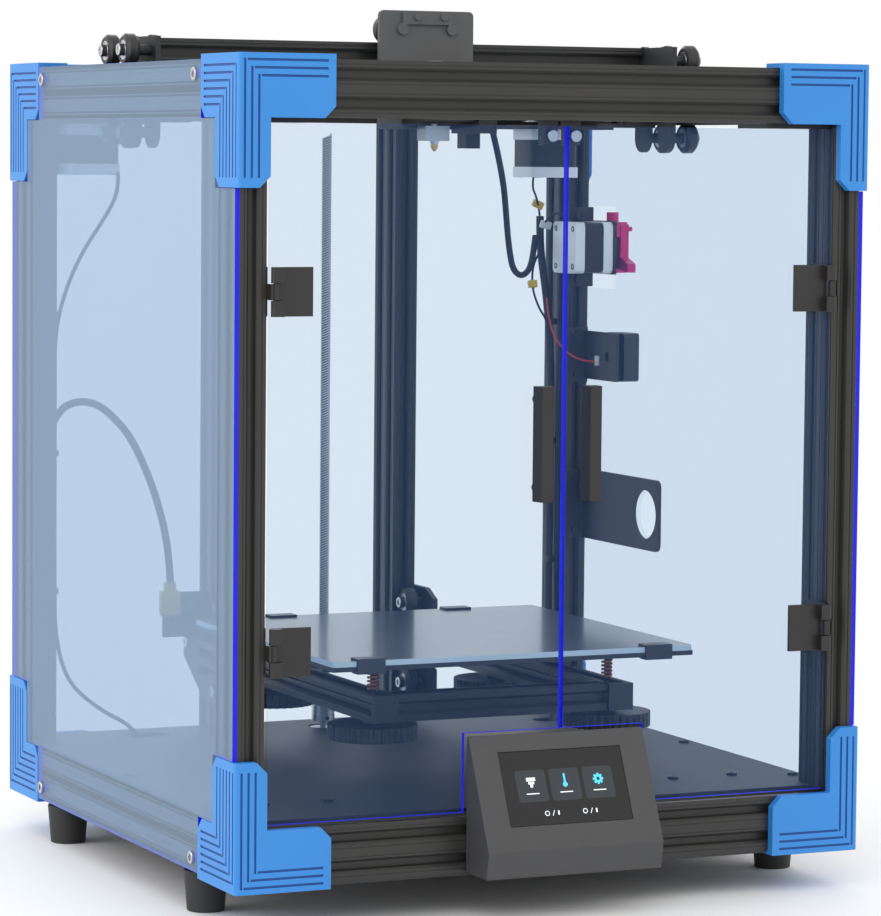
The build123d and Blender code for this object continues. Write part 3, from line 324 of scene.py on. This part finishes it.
# Parts whose edges are rounded: finish, and width of the rounding in mm
rounded = {
    "corner_posts": ("anodised", 0.35), "frame_beams": ("anodised", 0.35), "x_beam": ("anodised", 0.35),
    "corner_caps": ("blue", 0.35), "base_plates": ("coat", 0.3), "display_housing": ("case", 0.9),
    "drive_brackets": ("coat", 0.25), "post_brackets": ("coat", 0.3), "hinge_mounts": ("black", 0.3),
    "left_door_fittings": ("black", 0.6), "right_door_fittings": ("black", 0.6),
    "gantry_plates": ("coat", 0.3), "carriage_plate": ("greyCoat", 0.3), "bed_frame": ("anodised", 0.3),
    "bed_side_plates": ("coat", 0.3), "rubber_feet": ("rubber", 0.8), "power_inlet": ("coat", 0.3),
    "power_rocker": ("black", 0.4), "power_supply": ("machined", 0.3), "extruder_body": ("red", 0.5),
    "extruder_lever": ("red", 0.6), "filament_sensor": ("black", 0.6), "hot_end_fans": ("black", 0.3),
    "front_left_knob": ("black", 0.5), "front_right_knob": ("black", 0.5),
    "rear_left_knob": ("black", 0.5), "rear_right_knob": ("black", 0.5),
    "heated_plate": ("hotPlate", 0.3), "glass_clips": ("darkSteel", 0.3), "touch_screen": ("screen", 0.2),
    "control_board": ("board", 0.2),
}
for node, (finishName, width) in rounded.items():
    piece = fromBmesh(node.replace("_", "-"), mergedCopy(node), False)
    shadeByAngle(piece)
    dress(piece, finishName)
    addBevel(piece, width)
    adopt(piece, nodeBody[node])
    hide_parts(node)
print("rounded parts made")

# Parts that keep their own mesh and take a finish
plain = {"belt_idlers": "machined", "gantry_idlers": "machined",
         "left_drive_pulley": "machined", "right_drive_pulley": "machined", "extruder_gear": "brass",
         "fixed_belts": "belt", "hot_end": "machined"}
for node, finishName in plain.items():
    dress(nodes[node], finishName)
for node in nodes:
    if node.endswith("wheel") or node.endswith("wheels"):
        dress(nodes[node], "acetal")


# Tinted sheets: broad faces see-through, cut edges bright blue with a painted glow, an emission on a part
# that is no lamp. The rims of holes stay clear, and so do the doors' edges beside their hinges.
sheetEdges = {"holeY": 0.215, "holeLow": 0.06, "holeHigh": 0.57, "hingeX": 0.219}


def makeSheet(node, name, body, finishName, broad, keep=None, edgeFinish="sheetEdgePaintedGlow"):
    bm = mergedCopy(node, keep)
    for face in bm.faces:
        spot = face.calc_center_median()
        inside = abs(spot.y) < sheetEdges["holeY"] and sheetEdges["holeLow"] < spot.z < sheetEdges["holeHigh"]
        hole = broad == 0 and inside
        hinged = broad == 1 and abs(spot.x) > sheetEdges["hingeX"]
        face.material_index = 0 if abs(face.normal[broad]) > 0.9 or hole or hinged else 1
    piece = fromBmesh(name, bm, False)
    dress(piece, finishName, edgeFinish)
    adopt(piece, body)
    return piece


leftSheetPaintedHaze = makeSheet("side_panels", "left-side-sheet", "frame", "leftSheetPaintedHaze", 0, lambda spot: spot.x < 0)
rightSheet = makeSheet("side_panels", "right-side-sheet", "frame", "rightSheet", 0, lambda spot: spot.x > 0)
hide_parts("side_panels")
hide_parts("side_panels")
# the caps' outer faces, and how deep their grooves go; groove faces near the corners take a darker blue as
# painted shade
capWall = {"outer": 0.2475, "floor": 0.2461, "corner": 0.2434}
caps = bpy.data.objects["corner-caps"]
dress(caps, "blue", "bluePaintedGrooveShade")
for face in caps.data.polygons:
    far = [abs(face.center.x), abs(face.center.y)]
    deep = capWall["floor"] < max(far) < capWall["outer"] - 0.0001
    face.material_index = 1 if deep and min(far) < capWall["corner"] else 0
for side in ("left", "right"):
    door = makeSheet(side + "_door_panel", side + "-door-sheet", side + "_door", "sheet", 1)
    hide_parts(side + "_door_panel")
glass = makeSheet("print_glass", "print-plate", "bed", "plateGlass", 2, None, "glassEdge")
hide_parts("print_glass")
print("sheets made")


# Small shapes, made about Z at the origin in mm, then poured into a bigger bmesh
def spun(outline, segments=20):
    # an outline of (radius, height) points turned about Z
    part = bmesh.new()
    points = [part.verts.new((radius * mm, 0, height * mm)) for radius, height in outline]
    edges = [part.edges.new(pair) for pair in zip(points, points[1:])]
    bmesh.ops.spin(part, geom=points + edges, cent=(0, 0, 0), axis=(0, 0, 1), angle=2 * math.pi,
                   steps=segments, use_merge=True)
    return part


def boxed(width, depth, height, edge=0.3, segments=2, upright=False):
    part = bmesh.new()
    bmesh.ops.create_cube(part, size=1)
    bmesh.ops.scale(part, vec=(width * mm, depth * mm, height * mm), verts=part.verts)
    edges = [e for e in part.edges if not upright or abs(e.verts[0].co.z - e.verts[1].co.z) > 1e-6]
    bmesh.ops.bevel(part, geom=edges, offset=edge * mm, segments=segments, affect="EDGES", profile=0.5,
                    material=-1)
    return part


def pour(bm, part, place, axis=(0, 0, 1), material=0):
    bmesh.ops.remove_doubles(part, verts=part.verts, dist=1e-7)
    bmesh.ops.recalc_face_normals(part, faces=part.faces)
    turn = Vector((0, 0, 1)).rotation_difference(Vector(axis)).to_matrix().to_4x4()
    bmesh.ops.transform(part, matrix=Matrix.Translation([c * mm for c in place]) @ turn, verts=part.verts)
    for face in part.faces:
        face.material_index = material
    carrier = bpy.data.meshes.new("carrier")
    part.to_mesh(carrier)
    part.free()
    bm.from_mesh(carrier)
    bpy.data.meshes.remove(carrier)


def finished(name, bm, body, slot, *finishNames, angle=35):
    made = fromBmesh(name, bm)
    shadeByAngle(made, angle)
    dress(made, *finishNames)
    return adopt(made, body)


def screwHead(radius, height):
    # a socket-head screw with a chamfered rim and a recess
    hole = radius * 0.5
    return spun([(0, height * 0.35), (hole, height * 0.35), (hole, height), (radius - 0.35, height),
                 (radius, height - 0.35), (radius, 0), (0, 0)], 18)


# Motors: square bodies with bright end plates, dark laminations, boss, shaft and screws
motor = {"width": 42.3, "corner": 4.2, "cap": 8.6, "waist": 41.5, "waistCorner": 6.5, "boss": 11,
         "bossRise": 1.9, "shaft": 2.45, "screwSpread": 15.5}
motorPlaces = [((-200.5, 196, 560), (0, 0, 1), 39.5, 28), ((200.5, 196, 560), (0, 0, 1), 39.5, 28),
               ((0, 186, 71.3), (0, 0, 1), 38, 17), ((243.7, 176.3, 463), (1, 0, 0), 34.5, 14.5)]
motors = bmesh.new()
bossRise, shaftRadius = motor["bossRise"], motor["shaft"]
bossShape = [(0, bossRise), (motor["boss"] - 0.4, bossRise), (motor["boss"], bossRise - 0.4),
             (motor["boss"], -0.5), (0, -0.5)]
for face, ahead, length, shaft in motorPlaces:
    face, ahead = Vector(face), Vector(ahead)
    middle = length - 2 * motor["cap"]
    pour(motors, boxed(motor["width"], motor["width"], motor["cap"], motor["corner"], 4, True),
         face - ahead * motor["cap"] / 2, ahead, 0)
    pour(motors, boxed(motor["waist"], motor["waist"], middle, motor["waistCorner"], 4, True),
         face - ahead * length / 2, ahead, 1)
    pour(motors, boxed(motor["width"], motor["width"], motor["cap"], motor["corner"], 4, True),
         face - ahead * (length - motor["cap"] / 2), ahead, 0)
    pour(motors, spun(bossShape, 32), face, ahead, 0)
    pour(motors, spun([(0, shaft), (shaftRadius - 0.35, shaft), (shaftRadius, shaft - 0.4), (shaftRadius, 0),
                       (0, 0)]), face, ahead, 2)
    across = Vector((0, 1, 0)) if abs(ahead.x) > 0.5 else Vector((1, 0, 0))
    other = ahead.cross(across)
    for one in (-1, 1):
        for two in (-1, 1):
            spot = face - ahead * (length - 0.02) + (across * one + other * two) * motor["screwSpread"]
            pour(motors, screwHead(2.6, 0.6), spot + ahead * 0.3, -ahead, 3)
finished("stepper-motors", motors, "frame", slotOf["stepper_motors"],
         "motorCap", "laminateAndThreadShade", "steel", "darkSteel")
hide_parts("stepper_motors")
print("motors made")

# Lead screw: four-start thread turned with a rising spin, and its clamped coupler
screw = {"x": 0, "y": 186, "low": 99.0, "high": 561.4, "radius": 4.0, "root": 3.25, "lead": 8.0, "starts": 4,
         "stepsPerTurn": 16, "couplerRadius": 9.4, "couplerLow": 78.1, "couplerHigh": 100.9}
turns = int((screw["high"] - screw["low"] - screw["lead"]) / screw["lead"])
thread = bmesh.new()
pitch = screw["lead"] / screw["starts"]
points = []
toothShape = [(screw["root"], 0.0), (screw["root"], 0.30), (screw["radius"], 0.45), (screw["radius"], 0.85)]
for start in range(screw["starts"]):
    for radius, part in toothShape:
        points.append(thread.verts.new((radius * mm, 0, (screw["low"] + (start + part) * pitch) * mm)))
points.append(thread.verts.new((screw["root"] * mm, 0, (screw["low"] + screw["lead"]) * mm)))
edges = [thread.edges.new(pair) for pair in zip(points, points[1:])]
rise = screw["lead"] / screw["stepsPerTurn"] * mm
bmesh.ops.spin(thread, geom=points + edges, cent=(0, 0, 0), axis=(0, 0, 1), dvec=(0, 0, rise),
               angle=2 * math.pi * turns, steps=turns * screw["stepsPerTurn"])
bmesh.ops.remove_doubles(thread, verts=thread.verts, dist=2e-6)
bmesh.ops.holes_fill(thread, edges=[e for e in thread.edges if e.is_boundary])
# thread roots take the near-black fourth finish as painted shade, the rest of the thread a pale steel as
# painted highlight
for face in thread.faces:
    face.material_index = 3 if face.calc_center_median().xy.length < (screw["root"] + 0.15) * mm else 0
bmesh.ops.translate(thread, vec=(screw["x"] * mm, screw["y"] * mm, 0), verts=thread.verts)
high = screw["couplerHigh"] - screw["couplerLow"]
wide = screw["couplerRadius"]
coupler = [(2.6, 0), (wide - 0.5, 0), (wide, 0.5)]
for cut in (6.5, 9.5, 12.5, 15.5):
    coupler += [(wide, cut), (wide - 1.4, cut), (wide - 1.4, cut + 0.8), (wide, cut + 0.8)]
coupler += [(wide, high - 0.5), (wide - 0.5, high), (screw["root"], high), (0, high)]
pour(thread, spun(coupler, 32), (screw["x"], screw["y"], screw["couplerLow"]), (0, 0, 1), 1)
for level in (3.2, 19.8):
    pour(thread, screwHead(1.6, 0.8), (screw["x"], screw["y"] - wide, screw["couplerLow"] + level),
         (0, 1, 0), 2)
finished("lead-screw", thread, "lead_screw", slotOf["lead_screw"],
         "screwSteelHighlight", "machined", "darkSteel", "laminateAndThreadShade", angle=40)
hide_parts("lead_screw")
print("lead screw made, turns:", turns)

# Levelling springs: wire coiled with a rising spin
spring = {"x": 95.5, "y": (-134.0, 61.0), "low": 148.2, "high": 169.3, "coil": 3.5, "wire": 0.95, "turns": 7}
springs = bmesh.new()
for sx in (-1, 1):
    for y in spring["y"]:
        coil = bmesh.new()
        bmesh.ops.create_circle(coil, cap_ends=True, radius=spring["wire"] * mm, segments=8)
        upright = Matrix.Rotation(math.radians(90), 3, "X")
        bmesh.ops.rotate(coil, cent=(0, 0, 0), matrix=upright, verts=coil.verts)
        bmesh.ops.translate(coil, vec=(spring["coil"] * mm, 0, 0), verts=coil.verts)
        steps = spring["turns"] * 20
        climb = (spring["high"] - spring["low"] - 2 * spring["wire"]) / steps * mm
        bmesh.ops.spin(coil, geom=coil.verts[:] + coil.edges[:] + coil.faces[:], cent=(0, 0, 0),
                       axis=(0, 0, 1), dvec=(0, 0, climb), angle=2 * math.pi * spring["turns"], steps=steps)
        pour(springs, coil, (sx * spring["x"], y, spring["low"] + spring["wire"]))
finished("bed-springs", springs, "bed", slotOf["bed_springs"], "copper", angle=60)
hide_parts("bed_springs")
print("springs made")

# Belts: the runs between the frame and the gantry are baked in place, the run across the gantry rides on it
belt = {"frontCut": 30.0, "rearCut": 50.0}  # where the runs are cut from the part across, in mm along Y


def beltPiece(name, low, high):
    bm = mergedCopy("gantry_belts")
    for level, outward in ((low, -1), (high, 1)):
        if level is None:
            continue
        cut = bmesh.ops.bisect_plane(bm, geom=bm.verts[:] + bm.edges[:] + bm.faces[:], dist=1e-7,
                                     plane_co=(0, level * mm, 0), plane_no=(0, outward, 0), clear_outer=True)
        bmesh.ops.holes_fill(bm, edges=[e for e in cut["geom_cut"] if isinstance(e, bmesh.types.BMEdge)])
    made = fromBmesh(name, bm)
    shadeByAngle(made)
    dress(made, "belt")
    bpy.context.scene.collection.objects.link(made)
    return made


acrossBelt = beltPiece("belt-across", belt["frontCut"], belt["rearCut"])
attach(acrossBelt, "gantry")
frontRuns = beltPiece("belt-front-runs", None, belt["frontCut"])
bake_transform(frontRuns)
rearRuns = beltPiece("belt-rear-runs", belt["rearCut"], None)
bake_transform(rearRuns)
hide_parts("gantry_belts")
print("belts made")


# Cables: tubes on smooth curves, some of which run between two bodies and are baked in place, tied to neither
def tubeMesh(name, route, radius, finishName):
    curve = bpy.data.curves.new(name, "CURVE")
    curve.dimensions = "3D"
    line = curve.splines.new("NURBS")
    line.points.add(len(route) - 1)
    for point, place in zip(line.points, route):
        point.co = (place[0] * mm, place[1] * mm, place[2] * mm, 1)
    line.order_u = 3
    line.use_endpoint_u = True
    line.resolution_u = 8
    curve.bevel_depth = radius * mm
    curve.bevel_resolution = 3
    curve.use_fill_caps = True
    holder = bpy.data.objects.new(name + "-line", curve)
    bpy.context.scene.collection.objects.link(holder)
    bpy.context.view_layer.update()
    ready = holder.evaluated_get(bpy.context.evaluated_depsgraph_get())
    mesh = bpy.data.meshes.new_from_object(ready)
    bpy.data.objects.remove(holder)
    made = bpy.data.objects.new(name, mesh)
    bm = bmesh.new()
    bm.from_mesh(mesh)
    bmesh.ops.remove_doubles(bm, verts=bm.verts, dist=1e-7)
    bmesh.ops.recalc_face_normals(bm, faces=bm.faces)
    for face in bm.faces:
        face.smooth = True
        face.material_index = 0
    bm.to_mesh(mesh)
    bm.free()
    mesh.materials.clear()
    mesh.materials.append(finishes[finishName])
    return made


def cable(name, route, radius, finishName, body):
    return adopt(tubeMesh(name, route, radius, finishName), body)


def bendingCable(name, route, radius, finishName):
    made = tubeMesh(name, route, radius, finishName)
    bpy.context.scene.collection.objects.link(made)
    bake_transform(made)
    return made


loomRoutes = {
    "right": [(206.5, 217, 488), (207, 218, 470), (209.5, 219, 450), (214, 219.4, 424), (217.5, 219.6, 394),
              (219.6, 219.4, 352), (219.4, 219.8, 300), (219.7, 219.4, 250), (219.4, 219.8, 200),
              (219, 219, 152), (215.5, 207, 118), (206, 181, 92), (194, 156, 77), (189, 150.3, 60)],
    "left": [(-183, 172.9, 522), (-182, 171.5, 508), (-192.5, 180, 484.5), (-206, 189, 461), (-217, 199, 430),
             (-221.1, 212, 396), (-221.3, 213, 350), (-221.2, 212, 304), (-221.3, 213, 254),
             (-221.2, 212, 204), (-220.6, 213, 154), (-212, 208, 117), (-188, 198, 95), (-160, 190.5, 80),
             (-150, 190, 62)],
    "bed": [(-219.8, 224, 320), (-216, 218, 334), (-204, 208, 341.5), (-190, 203.5, 339.5), (-177, 202, 330),
            (-160.5, 202, 312), (-143.5, 202, 276), (-133.5, 201, 243), (-128.5, 200.5, 215),
            (-127, 200, 184)],
    "gantry": [(42, 70, 622), (62, 92, 632), (75, 104, 629)],
    "post": [(75, 104, 629), (88, 116, 626), (110, 134, 602), (127, 149, 568), (139, 158, 540),
             (148.5, 166, 514), (154.5, 174, 492), (160, 182, 474), (165, 188, 458), (169.8, 191.4, 443.9),
             (181.4, 199.4, 438), (193, 207.4, 443.9), (197.8, 210.8, 458), (200.5, 213, 472)]}
sleeve = slotOf["wire_looms"]
rightLoom = cable("right-loom", loomRoutes["right"], 3.2, "sleeve", "frame")
leftLead = cable("left-lead", loomRoutes["left"], 1.6, "sleeve", "frame")
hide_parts("wire_looms")
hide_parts("wire_looms")
bedCable = bendingCable("bed-cable", loomRoutes["bed"], 3.0, "sleeve")  # still above the plug
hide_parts("bed_cable")
gantryLoom = bendingCable("gantry-loom", loomRoutes["gantry"], 2.6, "sleeve")
postLoom = bendingCable("post-loom", loomRoutes["post"], 2.6, "sleeve")
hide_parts("hot_end_loom")
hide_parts("hot_end_loom")

# Plugs, clips and thin wires about the right rear post and the bed
plug = {"size": (16, 7.4, 20), "place": (-128, 200, 178), "neck": (9, 5.6, 8), "neckPlace": (-128, 200, 191)}
plugs = bmesh.new()
pour(plugs, boxed(*plug["size"], 0.8), plug["place"])
pour(plugs, boxed(*plug["neck"], 0.6), plug["neckPlace"])
finished("bed-plug", plugs, "bed", sleeve, "yellow")
clips = bmesh.new()
for place in ((-221.6, 214, 410), (-221.6, 214, 300), (-221.6, 214, 190),
              (219.6, 219.2, 400), (219.6, 219.2, 300), (219.6, 219.2, 200)):
    pour(clips, boxed(6.2, 9.2, 5.0, 0.6), place)
finished("cable-clips", clips, "frame", sleeve, "black")
thin = {
    "wire-black-one": ([(205, 214, 486), (200, 206, 496), (192, 196, 506), (184, 186, 512),
                        (180, 176, 520)], 0.9, "sleeve"),
    "wire-black-two": ([(207, 214, 474), (202, 204, 480), (205, 196, 488), (209, 189, 492),
                        (214, 184, 489)], 0.9, "sleeve"),
    "wire-black-three": ([(208, 214, 462), (196, 207, 452), (192, 202, 430), (198, 200, 412),
                          (206, 204, 404), (212, 212, 398)], 0.9, "sleeve"),
    "wire-red": ([(212, 214, 420), (210, 205, 396), (216, 192, 378), (228, 180, 368),
                  (240, 172, 368)], 0.8, "wireRed"),
}
for name, (route, radius, finishName) in thin.items():
    cable(name, route, radius, finishName, "frame")
ends = bmesh.new()
pour(ends, boxed(9, 5, 6, 0.5), (199, 206, 498), (0.4, -0.3, 1), 0)
pour(ends, boxed(9, 5, 6, 0.5), (205, 203, 481), (0.2, -0.2, 1), 1)
pour(ends, boxed(8, 5, 7, 0.5), (241, 172.5, 369), (1, 0, 0), 1)
pour(ends, boxed(7, 5, 6, 0.5), (193, 202, 432), (0, 0.2, 1), 0)
finished("small-plugs", ends, "frame", sleeve, "yellow", "whitePlastic")
print("cables made")

# Wheels: steel bearing rings on the wheels, bright bolt heads on their plates
bearing = {"outer": 7.4, "inner": 4.3, "wheelHalf": 5.1, "sink": 0.75}
inner, outer = bearing["inner"], bearing["outer"]
ringShape = [(inner, 0), (inner, 0.5), (5.1, 0.55), (5.2, 0.35), (6.4, 0.35), (6.5, 0.55), (outer, 0.5),
             (outer, 0), (inner, 0)]
wheelSets = {
    "gantry_upper_front": [(side * 233.5, 8.5, 613.8, "x") for side in (-1, 1)],
    "gantry_upper_rear": [(side * 233.5, 47.5, 613.8, "x") for side in (-1, 1)],
    "gantry_lower_front": [(side * 233.5, 8.5, 553.2, "x") for side in (-1, 1)],
    "gantry_lower_rear": [(side * 233.5, 47.5, 553.2, "x") for side in (-1, 1)],
    "carriage_wheel_left": [(-3.75, 56, 634.6, "y")],
    "carriage_wheel_right": [(37.75, 56, 634.6, "y")],
    "carriage_wheel_low": [(17, 56, 594.0, "y")],
    "bed_wheel_upper": [(side * 77, 190.2, 172, "x") for side in (-1, 1)],
    "bed_wheel_lower": [(side * 77, 190.2, 106, "x") for side in (-1, 1)],
    "bed_wheel_rear": [(side * 77, 250.8, 139, "x") for side in (-1, 1)],
}
for body, places in wheelSets.items():
    rings = bmesh.new()
    for x, y, z, line in places:
        for way in (-1, 1):
            axis = Vector((way, 0, 0)) if line == "x" else Vector((0, way, 0))
            spot = Vector((x, y, z)) + axis * (bearing["wheelHalf"] - bearing["sink"])
            pour(rings, spun(ringShape, 28), spot, axis)
    finished(body.replace("_", "-") + "-bearings", rings, body, slotOf["frame_screws"], "steel")
bolt = {"gantryX": 241.8, "radius": 4.4, "height": 0.7, "bedIn": 68.6, "bedOut": 95.1}
gantryBolts, bedBolts = bmesh.new(), bmesh.new()
for side in (-1, 1):
    for y in (8.5, 47.5):
        for z in (553.2, 613.8):
            pour(gantryBolts, screwHead(bolt["radius"], bolt["height"]), (side * bolt["gantryX"], y, z),
                 (side, 0, 0))
    for y, z in ((190.2, 172), (190.2, 106), (250.8, 139)):
        pour(bedBolts, screwHead(bolt["radius"], bolt["height"]), (side * bolt["bedIn"], y, z), (-side, 0, 0))
        pour(bedBolts, screwHead(bolt["radius"], bolt["height"]), (side * bolt["bedOut"], y, z),
             (side, 0, 0))
finished("gantry-bolts", gantryBolts, "gantry", slotOf["frame_screws"], "steel")
finished("bed-bolts", bedBolts, "bed", slotOf["frame_screws"], "steel")
print("bearings and bolts made")

# Touch screen: three rounded tiles with plain pictures and two small marks, raised a hair off the glass
screen = {"centre": (0, -259.83, 92.27), "up": (0, 0.4213, 0.9070), "out": (0, -0.9070, 0.4213),
          "glass": -0.6, "tile": 23.5, "spread": 26.5, "tileRise": 1.5, "markDrop": -19, "markSpread": 15}
tiles, pale, bright = bmesh.new(), bmesh.new(), bmesh.new()


def onScreen(bm, part, along, rise, lift):
    spot = Vector(screen["centre"]) + Vector((along, 0, 0)) + Vector(screen["up"]) * rise
    pour(bm, part, spot + Vector(screen["out"]) * (screen["glass"] + lift), screen["out"])


def disc(radius):
    part = bmesh.new()
    bmesh.ops.create_cone(part, cap_ends=True, segments=24, radius1=radius * mm, radius2=radius * mm,
                          depth=0.12 * mm)
    return part


def bar(width, height, tilt=0):
    part = boxed(width, height, 0.12, 0.04, 1)
    turn = Matrix.Rotation(math.radians(tilt), 3, "Z")
    bmesh.ops.rotate(part, cent=(0, 0, 0), matrix=turn, verts=part.verts)
    return part


for step in (-1, 0, 1):
    tile = boxed(screen["tile"], screen["tile"], 0.14, 2.2, 4, True)
    onScreen(tiles, tile, step * screen["spread"], screen["tileRise"], 0.07)
left, right, rise = -screen["spread"], screen["spread"], screen["tileRise"] + 2.5
onScreen(pale, bar(7.0, 2.6), left, rise + 2.4, 0.2)
onScreen(pale, bar(4.6, 1.8), left, rise - 0.3, 0.2)
onScreen(pale, bar(2.0, 2.2), left, rise - 2.4, 0.2)
onScreen(bright, disc(1.9), 0, rise - 2.6, 0.2)
onScreen(bright, bar(1.5, 8.5), 0, rise + 1.2, 0.2)
for tilt in range(0, 180, 45):
    onScreen(bright, bar(8.2, 1.7, tilt), right, rise, 0.2)
onScreen(bright, disc(3.0), right, rise, 0.22)
onScreen(tiles, disc(1.3), right, rise, 0.34)
for x in (left, 0, right):
    onScreen(pale, bar(10, 0.7), x, rise - 8.2, 0.2)
for x in (-screen["markSpread"] - 3, screen["markSpread"] - 3):
    onScreen(pale, disc(1.9), x, screen["markDrop"], 0.06)
    onScreen(tiles, disc(1.35), x, screen["markDrop"], 0.2)
    onScreen(pale, bar(0.5, 4.2, -25), x + 5, screen["markDrop"], 0.06)
    onScreen(pale, bar(1.2, 3.0), x + 9, screen["markDrop"], 0.06)
finished("screen-tiles", tiles, "frame", slotOf["touch_screen"], "tile")
finished("screen-marks", pale, "frame", slotOf["touch_screen"], "iconWhite")
finished("screen-pictures", bright, "frame", slotOf["touch_screen"], "iconBlue")
print("screen made")

# Screws of the side sheets and the deck, and the round door catches
fastener = {"sheetX": 247.0, "sheetY": 165.0, "sheetZ": (41.5, 593.5), "sheetRadius": 4.75,
            "sheetHeight": 2.4, "shank": 2.5, "shankLength": 8,
            "deckZ": 74.0, "deckRadius": 4, "deckHeight": 1.9,
            "deck": ((233.5, -174), (233.5, 0), (233.5, 174), (190, -158), (140, -158))}
heads = bmesh.new()
shankShape = [(0, 0), (fastener["shank"], 0), (fastener["shank"], fastener["shankLength"]),
              (0, fastener["shankLength"])]
for side in (-1, 1):
    for y in (-fastener["sheetY"], fastener["sheetY"]):
        for z in fastener["sheetZ"]:
            pour(heads, screwHead(fastener["sheetRadius"], fastener["sheetHeight"]),
                 (side * fastener["sheetX"], y, z), (side, 0, 0))
            pour(heads, spun(shankShape, 16), (side * fastener["sheetX"], y, z), (-side, 0, 0))
    for x, y in fastener["deck"]:
        pour(heads, screwHead(fastener["deckRadius"], fastener["deckHeight"]),
             (side * x, y, fastener["deckZ"]), (0, 0, 1), 1)
finished("frame-screws", heads, "frame", slotOf["frame_screws"], "steel", "darkSteel")
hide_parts("frame_screws")
catch = {"x": (-3.6, 14.6), "y": -235.2, "z": 552.7}
catches = bmesh.new()
catchShape = [(0, 0.25), (1.6, 0.25), (1.7, 0.45), (3.9, 0.45), (4.25, 0.2), (4.25, -0.4), (0, -0.4)]
for x in catch["x"]:
    pour(catches, spun(catchShape, 28), (x, catch["y"], catch["z"]), (0, -1, 0))
finished("door-catches", catches, "frame", slotOf["frame_screws"], "machined")
print("screws and catches made")

# Hot end trim: brass nozzle and the fan's hub
hotEnd = {"nozzle": (17, 14, 541.05), "hub": (17, -16.0, 584)}
nozzle = bmesh.new()
pour(nozzle, spun([(0.25, 0), (0.9, 0), (3.2, 3.2), (3.2, 5.4), (0, 5.4)], 6), hotEnd["nozzle"], (0, 0, 1))
finished("nozzle", nozzle, "carriage", slotOf["extruder_gear"], "brass")
hub = bmesh.new()
pour(hub, spun([(0, 0.6), (6.6, 0.6), (7.2, 0.1), (7.2, -0.5), (0, -0.5)], 28), hotEnd["hub"], (0, -1, 0))
finished("fan-hub", hub, "carriage", slotOf["hot_end_fans"], "black")
print("hot end trim made")


# Bench and world: a pale floor that fades to plain white away from the machine
def makeStage():
    bm = bmesh.new()
    bmesh.ops.create_grid(bm, x_segments=1, y_segments=1, size=30)
    floor = fromBmesh("floor", bm)
    made = Finish("pale floor")
    slow = made.noise(0.6, 2.0)
    matt = made.shine({"Base Color": made.mix(slow, rgb(0.93, 0.93, 0.93), rgb(0.97, 0.97, 0.97)),
                       "Roughness": 0.7})
    white = made.make("ShaderNodeEmission", {}, {"Color": rgb(1, 1, 1), "Strength": 1.0}, "Emission")
    far = made.make("ShaderNodeVectorMath", {"operation": "LENGTH"}, {0: made.where}, "Value")
    fade = made.make("ShaderNodeMapRange", {"interpolation_type": "SMOOTHSTEP"},
                     {"Value": far, "From Min": 0.28, "From Max": 0.7}, "Result")
    surface = made.make("ShaderNodeMixShader", {}, {0: fade, 1: matt, 2: white}, "Shader")
    floor.data.materials.append(made.finish(surface))
    bpy.context.scene.collection.objects.link(floor)
    world = bpy.data.worlds.new("studio")
    world.use_nodes = True
    world.node_tree.nodes["Background"].inputs["Color"].default_value = (1, 1, 1, 1)
    world.node_tree.nodes["Background"].inputs["Strength"].default_value = 1.0
    bpy.context.scene.world = world
    bpy.context.scene.view_settings.view_transform = "Standard"


makeCamera()
makeLamps()
makeStage()
print("camera, lamps and bench made")
